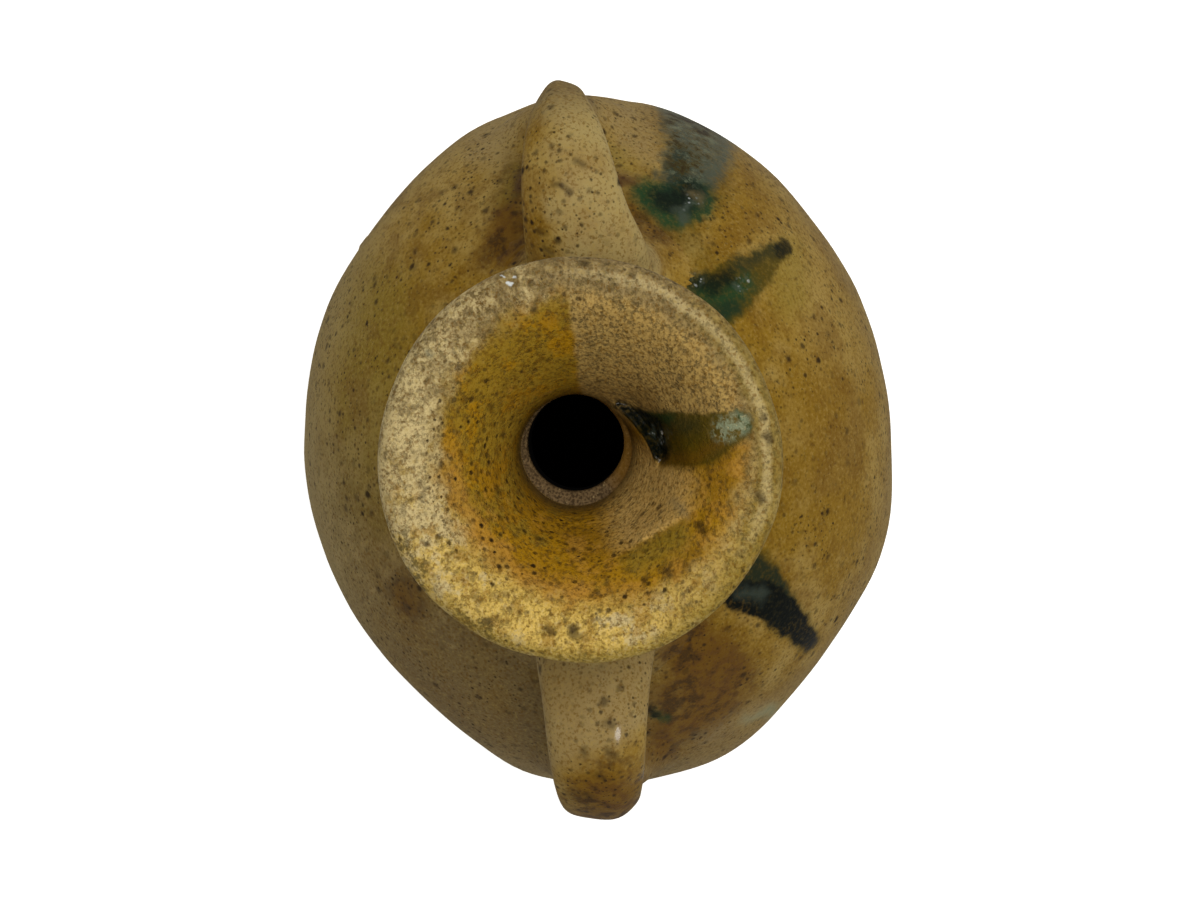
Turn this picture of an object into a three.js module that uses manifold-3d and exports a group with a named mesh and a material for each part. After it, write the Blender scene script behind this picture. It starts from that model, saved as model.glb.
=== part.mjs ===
// A two-handled earthenware jug with an oval body, a narrow throat and a wide funnel mouth.
// It is put together as a potter does it: a bottomless oval wall on a slab base, a shoulder
// closed in to a collar, a throat ring, a separately thrown funnel, and two pulled strap
// handles. A layer of luting slip, which is clay thinned with water, beds every joint.
// Millimetres. Z is up from the table, X runs through both handles, -Y is the front.

import * as THREE from "three";
import { mergeVertices } from "three/addons/utils/BufferGeometryUtils.js";
import Module from "manifold-3d";

const wasm = await Module();
wasm.setup();

// Driving dimensions of the oval body
const BODY_LENGTH = 220; // across the belly, through the handles
const BODY_WIDTH = 189; // across the belly, front to back
const BELLY_HEIGHT = 130; // the widest level, above the table
const BASE_LENGTH = 118;
const BASE_WIDTH = 110;
const BASE_THICKNESS = 9;
const BASE_BEVEL = 2; // cut under the slab's edge
const BODY_WALL = 6.5;
const PLAN_POWER = 1.85; // of the belly's outline: 2 is an ellipse, less draws out the handle ends
const SEAM_DROP = 4; // the seam of the two wall sections, below the belly

// Driving dimensions of the shoulder and its collar
const SHOULDER_RISE = 85; // from the belly to where the shoulder turns up
const SHOULDER_RADIUS = 40; // the shoulder is round from here inwards
const SHOULDER_POWER = 1.85; // of the shoulder's side view: 2 is an ellipse, less slopes more
const COLLAR_RISE = 18; // from the end of the shoulder to the collar's flat top
const COLLAR_RADIUS = 27;
const COLLAR_STRAIGHT = 5; // upright part below the collar's flat top

// Driving dimensions of the throat ring and the funnel
const NECK_LENGTH = 14;
const NECK_WAIST = 25.2; // radius at the thinnest level
const THROAT_DIAMETER = 26;
const THROAT_MARGIN = 3; // the throat's lower end is opened out by this on the radius
const THROAT_SHIFT = { x: 3.1, y: 2.4 }; // the hole was opened by hand, off the jug's axis
const MOUTH_HEIGHT = 47;
const MOUTH_FOOT = 26; // outer radius where the funnel sits on the throat ring
const LEDGE_DIAMETER = 34; // the funnel's lower opening, which leaves a ledge round the hole
const RIM_DIAMETER = 100;
const LIP_WIDTH = 11; // flat top of the lip, from its outer edge to the funnel
const LIP_THICKNESS = 9;
const LIP_DIP = 1.2; // the lip falls by this towards the funnel
const LIP_TURN = 6; // how softly the lip turns down into the funnel
const FLARE_START = 0.45; // share of the funnel's height that stays near upright
const LEAN_END = 0.5; // share of its height in which the funnel leans over to the hole

// Driving dimensions of the handles: a strap each, over the same arch
const HANDLE_SPRING = 23; // inner root, out from the collar's wall
const HANDLE_RISE = 22; // centre line at the crest, above the inner root
const HANDLE_CREST = 22; // crest, out from the inner root
const HANDLE_LANDING = 33; // outer root, above the belly
const HANDLE_LEG = 34; // from the outer root up to the outermost point
const ROOT_DEPTH = 14; // the strap is drawn this far below the wall's face before it is trimmed
const FLARE_LENGTH = 15; // stretch of strap that is thumbed out on to the wall
const INNER_FLARE = { width: 0.55, depth: 0.35 }; // widening at a root, as a share of the strap
const OUTER_FLARE = { width: 0.22, depth: 0.25 };
const TAPER_START = 0.28; // share of the strap's length where it begins to narrow
const TAPER_END = 0.62; // and where it has its end width

// Driving dimensions of the right strap, which was pulled thinner, and of the left one
const RIGHT_ANGLE = 0.8; // degrees from the belly's long axis
const RIGHT_WIDTH = 25; // where it rises from the shoulder
const RIGHT_END_WIDTH = 16.5; // where it comes down on the belly
const RIGHT_THICKNESS = 15.5;
const RIGHT_BULGE = 5.7; // outermost face, beyond the outer root
const LEFT_ANGLE = 178.4;
const LEFT_WIDTH = 27.5;
const LEFT_END_WIDTH = 25.5;
const LEFT_THICKNESS = 16.5;
const LEFT_BULGE = 7.4;
const HANDLES = [
  {
    name: "right_handle",
    turn: RIGHT_ANGLE,
    width: RIGHT_WIDTH,
    endWidth: RIGHT_END_WIDTH,
    thickness: RIGHT_THICKNESS,
    bulge: RIGHT_BULGE,
  },
  {
    name: "left_handle",
    turn: LEFT_ANGLE,
    width: LEFT_WIDTH,
    endWidth: LEFT_END_WIDTH,
    thickness: LEFT_THICKNESS,
    bulge: LEFT_BULGE,
  },
];

// Luting slip, and the clearance between a trimmed piece and the wall
const SLIP_THICKNESS = 1;
const SLIP_INSET = 0.8; // the slip stops short of the wall's two faces
const PAD_THICKNESS = 1.2;
const PAD_MARGIN = 1.5; // slip squeezed out round a handle's root
const GAP = 0.3;
const PAST = 1; // a cutter runs past the piece's end by this

// Smoothness of the facets
const ROUND_STEPS = 48;
const ARC_STEPS = 6;
const WALL_STEPS = 9;
const STRAP_SIDES = 16;
const STRAP_STEPS = 26;

// Fired glaze and clay
const GLAZE = { color: 0x9a7734, roughness: 0.35, metalness: 0 };
const WORN_GLAZE = { color: 0xa08d5c, roughness: 0.6, metalness: 0 };
const BARE_CLAY = { color: 0x9b8560, roughness: 0.85, metalness: 0 };
const SLIP = { color: 0x8c7a5a, roughness: 0.9, metalness: 0 };

// Levels that follow from the driving dimensions
const baseSlipTop = BASE_THICKNESS + SLIP_THICKNESS;
const seamLevel = BELLY_HEIGHT - SEAM_DROP;
const seamSlipTop = seamLevel + SLIP_THICKNESS;
const shoulderLevel = BELLY_HEIGHT + SHOULDER_RISE;
const collarLevel = shoulderLevel + COLLAR_RISE;
const neckLevel = collarLevel + SLIP_THICKNESS;
const neckTop = neckLevel + NECK_LENGTH;
const mouthLevel = neckTop + SLIP_THICKNESS;

// The body's outline: a superellipse quarter above the belly and an ellipse quarter below it.
// Its height is set by the one point that the quarter has to pass through.
function quarter(belly, end, endRise, power) {
  const height = endRise / (1 - (end / belly) ** power) ** (1 / power);
  return { belly, height, power, lastAngle: Math.asin((endRise / height) ** (power / 2)) };
}

const above = {
  length: quarter(BODY_LENGTH / 2, SHOULDER_RADIUS, SHOULDER_RISE, SHOULDER_POWER),
  width: quarter(BODY_WIDTH / 2, SHOULDER_RADIUS, SHOULDER_RISE, SHOULDER_POWER),
};
const below = {
  length: quarter(BODY_LENGTH / 2, BASE_LENGTH / 2, BELLY_HEIGHT, 2),
  width: quarter(BODY_WIDTH / 2, BASE_WIDTH / 2, BELLY_HEIGHT, 2),
};

// Half the body's length or width at a level, out to its face
function reachAt(level, axis) {
  const side = level > BELLY_HEIGHT ? above[axis] : below[axis];
  const share = Math.min(Math.abs(level - BELLY_HEIGHT) / side.height, 1);
  return side.belly * (1 - share ** side.power) ** (1 / side.power);
}

// Level of the shoulder's face at a distance from the jug's axis, in the handles' plane
function shoulderAt(radius) {
  const { belly, height, power } = above.length;
  return BELLY_HEIGHT + height * (1 - (radius / belly) ** power) ** (1 / power);
}

// Points up the body's face in the handles' plane, between two levels
function outline(fromLevel, toLevel, steps) {
  const angleOf = (level) => {
    const side = level > BELLY_HEIGHT ? above.length : below.length;
    const share = Math.min(Math.abs(level - BELLY_HEIGHT) / side.height, 1);
    return Math.sign(level - BELLY_HEIGHT) * Math.asin(share ** (side.power / 2));
  };
  const first = angleOf(fromLevel);
  const last = angleOf(toLevel);
  return Array.from({ length: steps + 1 }, (_, i) => {
    const angle = first + ((last - first) * i) / steps;
    const side = angle > 0 ? above.length : below.length;
    const rise = side.height * Math.abs(Math.sin(angle)) ** (2 / side.power);
    const radius = side.belly * Math.cos(angle) ** (2 / side.power);
    return new THREE.Vector2(radius, BELLY_HEIGHT + Math.sign(angle) * rise);
  });
}

// The hollow between the shoulder and the collar, from the shoulder's end to the collar's top
function collarOutline() {
  const step = 0.5;
  const slope = (shoulderAt(SHOULDER_RADIUS - step) - shoulderLevel) / step;
  const corner = shoulderLevel + slope * (SHOULDER_RADIUS - COLLAR_RADIUS);
  const hollow = new THREE.QuadraticBezierCurve(
    new THREE.Vector2(SHOULDER_RADIUS, shoulderLevel),
    new THREE.Vector2(COLLAR_RADIUS, corner),
    new THREE.Vector2(COLLAR_RADIUS, collarLevel - COLLAR_STRAIGHT),
  );
  return [...hollow.getPoints(ARC_STEPS), new THREE.Vector2(COLLAR_RADIUS, collarLevel)];
}

// A profile moved sideways: outwards for a positive distance. Its two ends stay at their levels.
function offsetProfile(points, distance) {
  return points.map((point, i) => {
    const before = points[Math.max(i - 1, 0)];
    const after = points[Math.min(i + 1, points.length - 1)];
    const along = after.clone().sub(before).normalize();
    const isEnd = i === 0 || i === points.length - 1;
    return isEnd
      ? new THREE.Vector2(point.x + distance / along.y, point.y)
      : new THREE.Vector2(point.x + distance * along.y, point.y - distance * along.x);
  });
}

// A solid of revolution round Z from a profile of radius and level
function revolve(points) {
  return new THREE.LatheGeometry(points, ROUND_STEPS).rotateX(Math.PI / 2);
}

// The closed profile of a wall: up its face and down a line that lies a wall's thickness inside
function wallProfile(face, thickness) {
  const inside = offsetProfile(face, -thickness).reverse();
  return [...face, ...inside, face[0]];
}

// Presses a round form into the body's oval: the width falls short of the length by as much as
// the body's own does at that level, so a wall keeps its thickness all round.
function pressOval(geometry) {
  const bellyShort = (BODY_LENGTH - BODY_WIDTH) / 2;
  const position = geometry.attributes.position;
  for (let i = 0; i < position.count; i++) {
    const [x, y, z] = [position.getX(i), position.getY(i), position.getZ(i)];
    const radius = Math.hypot(x, y);
    if (radius === 0 || z > shoulderLevel) continue;
    const short = reachAt(z, "length") - reachAt(z, "width");
    const power = 2 - ((2 - PLAN_POWER) * short) / bellyShort;
    const drawn = (share) => Math.sign(share) * Math.abs(share) ** (2 / power);
    position.setXY(i, radius * drawn(x / radius), (radius - short) * drawn(y / radius));
  }
  return geometry;
}

// Exchange between a drawn form and a solid that can be cut
function toSolid(geometry) {
  const bare = geometry.clone();
  bare.deleteAttribute("normal");
  bare.deleteAttribute("uv");
  const merged = mergeVertices(bare, 1e-3);
  const triVerts = new Uint32Array(merged.index.array);
  const vertProperties = merged.attributes.position.array;
  return new wasm.Manifold(new wasm.Mesh({ numProp: 3, vertProperties, triVerts }));
}

function toGeometry(solid) {
  const { vertProperties, triVerts } = solid.getMesh();
  return new THREE.BufferGeometry()
    .setAttribute("position", new THREE.BufferAttribute(vertProperties, 3))
    .setIndex(new THREE.BufferAttribute(triVerts, 1));
}

const jug = new THREE.Group();

function addPiece(name, geometry, finish, level = 0) {
  const piece = new THREE.Mesh(geometry, new THREE.MeshStandardMaterial(finish));
  piece.name = name;
  piece.position.z = level;
  jug.add(piece);
}

// The slab that the wall stands on, bevelled under its edge
function baseSlab() {
  const face = outline(BASE_BEVEL, BASE_THICKNESS, 2);
  const foot = new THREE.Vector2(face[0].x - BASE_BEVEL, 0);
  const bottom = new THREE.Vector2(0, 0);
  const top = new THREE.Vector2(0, BASE_THICKNESS);
  return pressOval(revolve([bottom, foot, ...face, top]));
}

function lowerBody() {
  return pressOval(revolve(wallProfile(outline(baseSlipTop, seamLevel, WALL_STEPS), BODY_WALL)));
}

function shoulderOutline(fromLevel) {
  const rising = outline(fromLevel, shoulderLevel, WALL_STEPS);
  return [...rising, ...collarOutline().slice(1)];
}

function upperBody() {
  return pressOval(revolve(wallProfile(shoulderOutline(seamSlipTop), BODY_WALL)));
}

// A flat ring of slip that follows the oval wall, between two levels
function wallSlip(fromLevel, toLevel) {
  const face = offsetProfile(outline(fromLevel, toLevel, 1), -SLIP_INSET);
  return pressOval(revolve(wallProfile(face, BODY_WALL - 2 * SLIP_INSET)));
}

// A disc round Z between two levels
function disc(radius, fromLevel, toLevel) {
  const edge = [new THREE.Vector2(radius, fromLevel), new THREE.Vector2(radius, toLevel)];
  return toSolid(revolve([new THREE.Vector2(0, fromLevel), ...edge, new THREE.Vector2(0, toLevel)]));
}

// A flat ring of slip between two round seats, standing on its own level. Its hole may lie aside.
function ringSlip(inner, outer, shift = { x: 0, y: 0 }) {
  const hole = disc(inner + SLIP_INSET, -PAST, SLIP_THICKNESS + PAST).translate(shift.x, shift.y, 0);
  return toGeometry(disc(outer - SLIP_INSET, 0, SLIP_THICKNESS).subtract(hole));
}

// The throat ring: a waisted tube whose hole lies off its own axis
function neck() {
  const waist = new THREE.QuadraticBezierCurve(
    new THREE.Vector2(COLLAR_RADIUS, 0),
    new THREE.Vector2(2 * NECK_WAIST - (COLLAR_RADIUS + MOUTH_FOOT) / 2, NECK_LENGTH / 2),
    new THREE.Vector2(MOUTH_FOOT, NECK_LENGTH),
  ).getPoints(ARC_STEPS);
  const bottom = new THREE.Vector2(0, 0);
  const top = new THREE.Vector2(0, NECK_LENGTH);
  const hole = THROAT_DIAMETER / 2;
  const cutter = revolve([
    new THREE.Vector2(0, -PAST),
    new THREE.Vector2(hole + THROAT_MARGIN, -PAST),
    new THREE.Vector2(hole + THROAT_MARGIN, 0),
    new THREE.Vector2(hole, NECK_LENGTH / 2),
    new THREE.Vector2(hole, NECK_LENGTH + PAST),
    new THREE.Vector2(0, NECK_LENGTH + PAST),
  ]).translate(THROAT_SHIFT.x, THROAT_SHIFT.y, 0);
  return toGeometry(toSolid(revolve([bottom, ...waist, top])).subtract(toSolid(cutter)));
}

// Moves the lower end of the funnel's inside over to the hole
function leanToHole(geometry) {
  const position = geometry.attributes.position;
  for (let i = 0; i < position.count; i++) {
    const level = position.getZ(i) / MOUTH_HEIGHT;
    const share = 1 - THREE.MathUtils.smoothstep(level, 0, LEAN_END);
    position.setX(i, position.getX(i) + share * THROAT_SHIFT.x);
    position.setY(i, position.getY(i) + share * THROAT_SHIFT.y);
  }
  return geometry;
}

// The funnel: flared outside, a rounded lip, and a trumpet inside that ends over the ledge
function mouthFunnel() {
  const edge = LIP_THICKNESS / 2;
  const lip = { x: RIM_DIAMETER / 2 - edge, y: MOUTH_HEIGHT - edge };
  const under = -Math.PI / 3; // the lip's round edge starts here, on its underside
  const underX = lip.x + edge * Math.cos(under);
  const underY = lip.y + edge * Math.sin(under);
  const innerLip = { x: RIM_DIAMETER / 2 - LIP_WIDTH, y: MOUTH_HEIGHT - LIP_DIP };
  const slope = LIP_DIP / (lip.x - innerLip.x);
  const ledge = LEDGE_DIAMETER / 2;
  const flare = MOUTH_HEIGHT * FLARE_START;
  const outside = new THREE.Path();
  outside.moveTo(0, 0);
  outside.lineTo(MOUTH_FOOT, 0);
  outside.bezierCurveTo(MOUTH_FOOT, flare, underX - LIP_WIDTH, underY - LIP_THICKNESS, underX, underY);
  outside.absarc(lip.x, lip.y, edge, under, Math.PI / 2, false);
  outside.lineTo(0, MOUTH_HEIGHT);
  const inside = new THREE.Path();
  inside.moveTo(0, -PAST);
  inside.lineTo(ledge, -PAST);
  inside.lineTo(ledge, 0);
  inside.bezierCurveTo(
    ledge, flare, innerLip.x - LIP_TURN, innerLip.y - slope * LIP_TURN, innerLip.x, innerLip.y,
  );
  inside.lineTo(lip.x + PAST, MOUTH_HEIGHT + slope * PAST);
  inside.lineTo(0, MOUTH_HEIGHT + slope * PAST);
  const trumpet = leanToHole(revolve(inside.getPoints(ARC_STEPS + 2)));
  return toGeometry(toSolid(revolve(outside.getPoints(ARC_STEPS + 2))).subtract(toSolid(trumpet)));
}

// The centre line of a handle in its own plane: up from the shoulder, over in two arcs, and
// down a leg on to the body. Both ends are drawn on into the wall, to be trimmed to it.
function handlePath(handle) {
  const springX = COLLAR_RADIUS + HANDLE_SPRING;
  const springZ = shoulderAt(springX);
  const crest = { x: springX + HANDLE_CREST, z: springZ + HANDLE_RISE };
  const landingZ = BELLY_HEIGHT + HANDLE_LANDING;
  const landingX = reachAt(landingZ, "length");
  const outer = { x: landingX + handle.bulge - handle.thickness / 2, z: landingZ + HANDLE_LEG };
  const path = new THREE.Path();
  path.moveTo(springX, springZ - ROOT_DEPTH);
  path.lineTo(springX, springZ);
  path.absellipse(crest.x, springZ, HANDLE_CREST, HANDLE_RISE, Math.PI, Math.PI / 2, true);
  path.absellipse(crest.x, outer.z, outer.x - crest.x, crest.z - outer.z, Math.PI / 2, 0, true);
  path.quadraticCurveTo(outer.x, landingZ, landingX - ROOT_DEPTH / 2, landingZ - ROOT_DEPTH);
  return path;
}

// A strap lofted along a handle's centre line, between two shares of its length. It narrows on
// its way to the belly, widens at both roots, and margin fattens it all round.
function strap(handle, from, to, margin) {
  const path = handlePath(handle);
  const length = path.getLength();
  const points = [];
  for (let step = 0; step <= STRAP_STEPS; step++) {
    const share = from + ((to - from) * step) / STRAP_STEPS;
    const centre = path.getPointAt(share);
    const along = path.getTangentAt(share);
    const fromWall = Math.max(Math.min(share, 1 - share) * length - ROOT_DEPTH, 0);
    const flare = Math.exp(-((fromWall / FLARE_LENGTH) ** 2));
    const root = share < 0.5 ? INNER_FLARE : OUTER_FLARE;
    const taper = THREE.MathUtils.smoothstep(share, TAPER_START, TAPER_END);
    const width = THREE.MathUtils.lerp(handle.width, handle.endWidth, taper);
    const halfWidth = (width / 2) * (1 + root.width * flare) + margin;
    const halfDepth = (handle.thickness / 2) * (1 + root.depth * flare) + margin;
    for (let side = 0; side < STRAP_SIDES; side++) {
      const angle = (2 * Math.PI * side) / STRAP_SIDES;
      const across = halfWidth * Math.cos(angle);
      const outwards = halfDepth * Math.sin(angle);
      points.push(centre.x - along.y * outwards, across, centre.y + along.x * outwards);
    }
  }
  return loft(points, STRAP_SIDES).rotateZ(THREE.MathUtils.degToRad(handle.turn));
}

// A closed skin over rings of points that follow each other, with a fan over each end
function loft(points, sides) {
  const rings = points.length / (3 * sides);
  const faces = [];
  for (let ring = 0; ring < rings - 1; ring++) {
    for (let side = 0; side < sides; side++) {
      const a = ring * sides + side;
      const b = ring * sides + ((side + 1) % sides);
      faces.push(a, b, a + sides, b, b + sides, a + sides);
    }
  }
  const last = (rings - 1) * sides;
  for (let side = 1; side < sides - 1; side++) {
    faces.push(0, side + 1, side, last, last + side, last + side + 1);
  }
  const skin = new THREE.BufferGeometry();
  skin.setAttribute("position", new THREE.Float32BufferAttribute(points, 3));
  skin.setIndex(faces);
  return skin;
}

// The body as a filled form, grown by a distance: what a handle and its slip are trimmed to
function grownBody(distance) {
  const face = offsetProfile(shoulderOutline(seamSlipTop), distance);
  const bottom = new THREE.Vector2(0, face[0].y);
  const top = new THREE.Vector2(0, face.at(-1).y);
  return toSolid(pressOval(revolve([bottom, ...face, top])));
}

// A handle and the two pads of slip that it is bedded on
function addHandle(handle) {
  const padTop = grownBody(GAP + PAD_THICKNESS);
  const padBottom = grownBody(GAP);
  const seat = grownBody(GAP + PAD_THICKNESS + GAP);
  const trimmed = toSolid(strap(handle, 0, 1, 0)).subtract(seat);
  addPiece(handle.name, toGeometry(trimmed), GLAZE);
  const roots = { upper: [0, 0.5], lower: [0.5, 1] };
  for (const [root, [from, to]] of Object.entries(roots)) {
    const bedded = toSolid(strap(handle, from, to, PAD_MARGIN)).intersect(padTop);
    addPiece(`${handle.name}_${root}_slip`, toGeometry(bedded.subtract(padBottom)), SLIP);
  }
}

addPiece("base_slab", baseSlab(), BARE_CLAY);
addPiece("base_slip", wallSlip(BASE_THICKNESS, baseSlipTop), SLIP);
addPiece("lower_body", lowerBody(), GLAZE);
addPiece("belly_slip", wallSlip(seamLevel, seamSlipTop), SLIP);
addPiece("upper_body", upperBody(), GLAZE);
addPiece("collar_slip", ringSlip(COLLAR_RADIUS - BODY_WALL, COLLAR_RADIUS), SLIP, collarLevel);
addPiece("neck", neck(), BARE_CLAY, neckLevel);
addPiece("throat_slip", ringSlip(LEDGE_DIAMETER / 2, MOUTH_FOOT, THROAT_SHIFT), SLIP, neckTop);
addPiece("mouth_funnel", mouthFunnel(), WORN_GLAZE, mouthLevel);
HANDLES.forEach(addHandle);

export default jug;
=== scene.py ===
# %% [markdown]
# # A two-handled pottery jug
# The jug is earthenware: clay thrown on a wheel, pressed oval, joined with slip and glazed amber
# with green splashes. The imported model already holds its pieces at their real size. This lesson
# gives each piece the surface of the real one: finger marks, uneven walls, and a glaze that runs,
# pools, speckles and wears.

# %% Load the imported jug
import math

import bpy
import numpy as np
from mathutils import Matrix, Vector


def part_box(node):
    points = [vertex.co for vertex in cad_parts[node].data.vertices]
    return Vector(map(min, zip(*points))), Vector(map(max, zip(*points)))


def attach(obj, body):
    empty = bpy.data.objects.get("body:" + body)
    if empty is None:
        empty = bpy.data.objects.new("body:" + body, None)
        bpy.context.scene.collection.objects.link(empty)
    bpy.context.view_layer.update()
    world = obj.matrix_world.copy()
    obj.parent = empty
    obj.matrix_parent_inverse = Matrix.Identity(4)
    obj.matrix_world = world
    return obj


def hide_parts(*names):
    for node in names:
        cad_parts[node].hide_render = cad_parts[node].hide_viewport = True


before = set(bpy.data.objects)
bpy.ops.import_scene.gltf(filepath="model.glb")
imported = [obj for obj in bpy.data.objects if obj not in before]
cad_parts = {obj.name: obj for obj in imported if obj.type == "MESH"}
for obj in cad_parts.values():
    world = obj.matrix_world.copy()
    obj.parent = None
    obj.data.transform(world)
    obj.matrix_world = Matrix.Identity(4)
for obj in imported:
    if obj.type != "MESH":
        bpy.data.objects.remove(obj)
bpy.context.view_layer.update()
print("pieces:", sorted(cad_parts))

# %% [markdown]
# ## Node maths that reads as Python
# Both the shapes and the glazes are worked out by node trees. Wiring dozens of Math nodes by hand
# hides the formula, so a small class wraps one output of a node and lets `+`, `-`, `*`, `/` and
# `**` add the Math nodes. A second class stands for the tree, and has one method that adds any
# other node.

# %% Wires and benches
class Wire:
    """One output of a node, which can be used in an expression."""

    def __init__(self, bench, socket):
        self.bench = bench
        self.socket = socket

    def __add__(self, other):
        return self.bench.math("ADD", self, other)

    def __sub__(self, other):
        return self.bench.math("SUBTRACT", self, other)

    def __rsub__(self, other):
        return self.bench.math("SUBTRACT", other, self)

    def __mul__(self, other):
        return self.bench.math("MULTIPLY", self, other)

    def __truediv__(self, other):
        return self.bench.math("DIVIDE", self, other)

    def __rtruediv__(self, other):
        return self.bench.math("DIVIDE", other, self)

    def __pow__(self, other):
        return self.bench.math("POWER", self, other)

    def __abs__(self):
        return self.bench.math("ABSOLUTE", self)

    __radd__ = __add__
    __rmul__ = __mul__


class Made:
    """A node that was just added: its outputs are read by name or number, as wires."""

    def __init__(self, bench, node):
        self.bench = bench
        self.node = node

    def __getitem__(self, output):
        return Wire(self.bench, self.node.outputs[output])


class Bench:
    """A node tree to work on."""

    def __init__(self, tree):
        self.tree = tree

    def node(self, kind, settings=None, sockets=None):
        """Adds a node: its settings first, then the values or links of its sockets."""
        made = self.tree.nodes.new(kind)
        for name, value in (settings or {}).items():
            setattr(made, name, value)
        for name, value in (sockets or {}).items():
            self.plug(made.inputs[name], value)
        return Made(self, made)

    def plug(self, socket, value):
        if isinstance(value, Wire):
            self.tree.links.new(value.socket, socket)
        else:
            socket.default_value = value

    def math(self, operation, *values):
        return self.node("ShaderNodeMath", {"operation": operation}, dict(enumerate(values)))[0]

    def vector(self, operation, *values):
        made = self.node("ShaderNodeVectorMath", {"operation": operation}, dict(enumerate(values)))
        scalar = operation in ("DOT_PRODUCT", "LENGTH", "DISTANCE")
        return made["Value" if scalar else "Vector"]

    def scaled(self, vector, factor):
        made = self.node("ShaderNodeVectorMath", {"operation": "SCALE"}, {0: vector, "Scale": factor})
        return made["Vector"]

    def parts(self, vector):
        made = self.node("ShaderNodeSeparateXYZ", sockets={0: vector})
        return made["X"], made["Y"], made["Z"]

    def joined(self, x, y, z):
        return self.node("ShaderNodeCombineXYZ", sockets={0: x, 1: y, 2: z})["Vector"]

    def smooth(self, value, start, end):
        """0 below start, 1 above end, with a soft run between; start may lie above end."""
        settings = {"interpolation_type": "SMOOTHSTEP"}
        sockets = {"Value": value, "From Min": start, "From Max": end}
        return self.node("ShaderNodeMapRange", settings, sockets)["Result"]


print("node maths is ready")

# %% [markdown]
# ## The camera
# The jug is seen from straight above, with one handle at the top of the picture and one at the
# bottom, from about half a metre over the rim. So close, the rim looks larger than the belly that
# lies far below it. The camera stands a little to one side of the jug's axis, which is why the
# belly and the rim don't share a centre in the picture, and the jug is turned by a few degrees.

# %% Camera
MM = 0.001
RIM_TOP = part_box("mouth_funnel")[1].z
PICTURE_TURN = Matrix.Rotation(math.radians(-4), 3, "Z")
CAMERA_PLACE = PICTURE_TURN @ Vector((22.7 * MM, -17.5 * MM, RIM_TOP + 520 * MM))
CAMERA_AIM = PICTURE_TURN @ Vector((2.9 * MM, -4.9 * MM, RIM_TOP))
PICTURE_UP = PICTURE_TURN @ Vector((1, 0, 0))
PICTURE_WIDTH = 1200
FOCAL_PIXELS = 2153
SENSOR = 36.0

camera = bpy.data.objects.new("camera", bpy.data.cameras.new("camera"))
camera.data.sensor_width = SENSOR
camera.data.lens = FOCAL_PIXELS / PICTURE_WIDTH * SENSOR
back = (CAMERA_PLACE - CAMERA_AIM).normalized()
right = PICTURE_UP.cross(back).normalized()
up = back.cross(right)
camera.matrix_world = Matrix.Translation(CAMERA_PLACE) @ Matrix((right, up, back)).transposed().to_4x4()
bpy.context.scene.collection.objects.link(camera)
bpy.context.scene.camera = camera
print("lens", round(camera.data.lens, 1), "mm")

# %% [markdown]
# ## The light
# The picture has soft light from nearly overhead and hardly any shadow. A sun lamp would draw hard
# edges, so discs of light are used: a wide one overhead that gives most of the light, a smaller one
# at the front that shapes the belly, and a small one that leaves a spark on wet glaze. A dim white
# world fills the shadows.

# %% Studio light
def soft_light(name, place, aim, size, power, tint):
    lamp = bpy.data.lights.new(name, "AREA")
    lamp.shape = "DISK"
    lamp.size = size
    lamp.energy = power
    lamp.color = tint
    holder = bpy.data.objects.new(name, lamp)
    holder.location = place
    holder.rotation_euler = (Vector(aim) - Vector(place)).to_track_quat("-Z", "Y").to_euler()
    bpy.context.scene.collection.objects.link(holder)


JUG_MIDDLE = (0, 0, 0.2)
soft_light("overhead", (0.2, -0.12, 1.7), JUG_MIDDLE, 1.0, 17, (1.0, 0.98, 0.95))
soft_light("key", (0.5, -0.6, 1.2), JUG_MIDDLE, 0.4, 3, (1.0, 0.98, 0.95))
soft_light("window", (-0.6, -0.5, 1.0), JUG_MIDDLE, 0.25, 1.2, (1.0, 0.99, 0.97))

world = bpy.data.worlds.new("studio")
world.use_nodes = True
world.node_tree.nodes["Background"].inputs["Color"].default_value = (1.0, 1.0, 1.0, 1.0)
world.node_tree.nodes["Background"].inputs["Strength"].default_value = 0.14
bpy.context.scene.world = world
bpy.context.scene.view_settings.view_transform = "Standard"

# %% [markdown]
# ## The jug's outline
# A potter thinks of a pot as a profile that is spun round. Here it is worked out by the same rule
# as the solids: a quarter of a superellipse above the belly, a quarter of an ellipse below it, and
# a hollow where the shoulder turns up into the collar.

# %% Profiles
def levels(node):
    """The lowest and the highest level of a node."""
    low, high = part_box(node)
    return low.z, high.z


HALF_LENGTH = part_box("upper_body")[1].x
HALF_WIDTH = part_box("upper_body")[1].y
BELLY_LEVEL = 130 * MM
BASE_HALF_LENGTH = 59 * MM
BASE_HALF_WIDTH = 55 * MM
SHOULDER_LEVEL = 215 * MM
SHOULDER_RADIUS = 40 * MM
SHOULDER_POWER = 1.85
PLAN_POWER = 1.85
WALL = 6.5 * MM
COLLAR_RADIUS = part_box("neck")[1].x
COLLAR_STRAIGHT = 5 * MM
FINE = 1.6 * MM  # spacing of the profile's points


def quarter_height(belly, end, rise, power):
    return rise / (1 - (end / belly) ** power) ** (1 / power)


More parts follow.
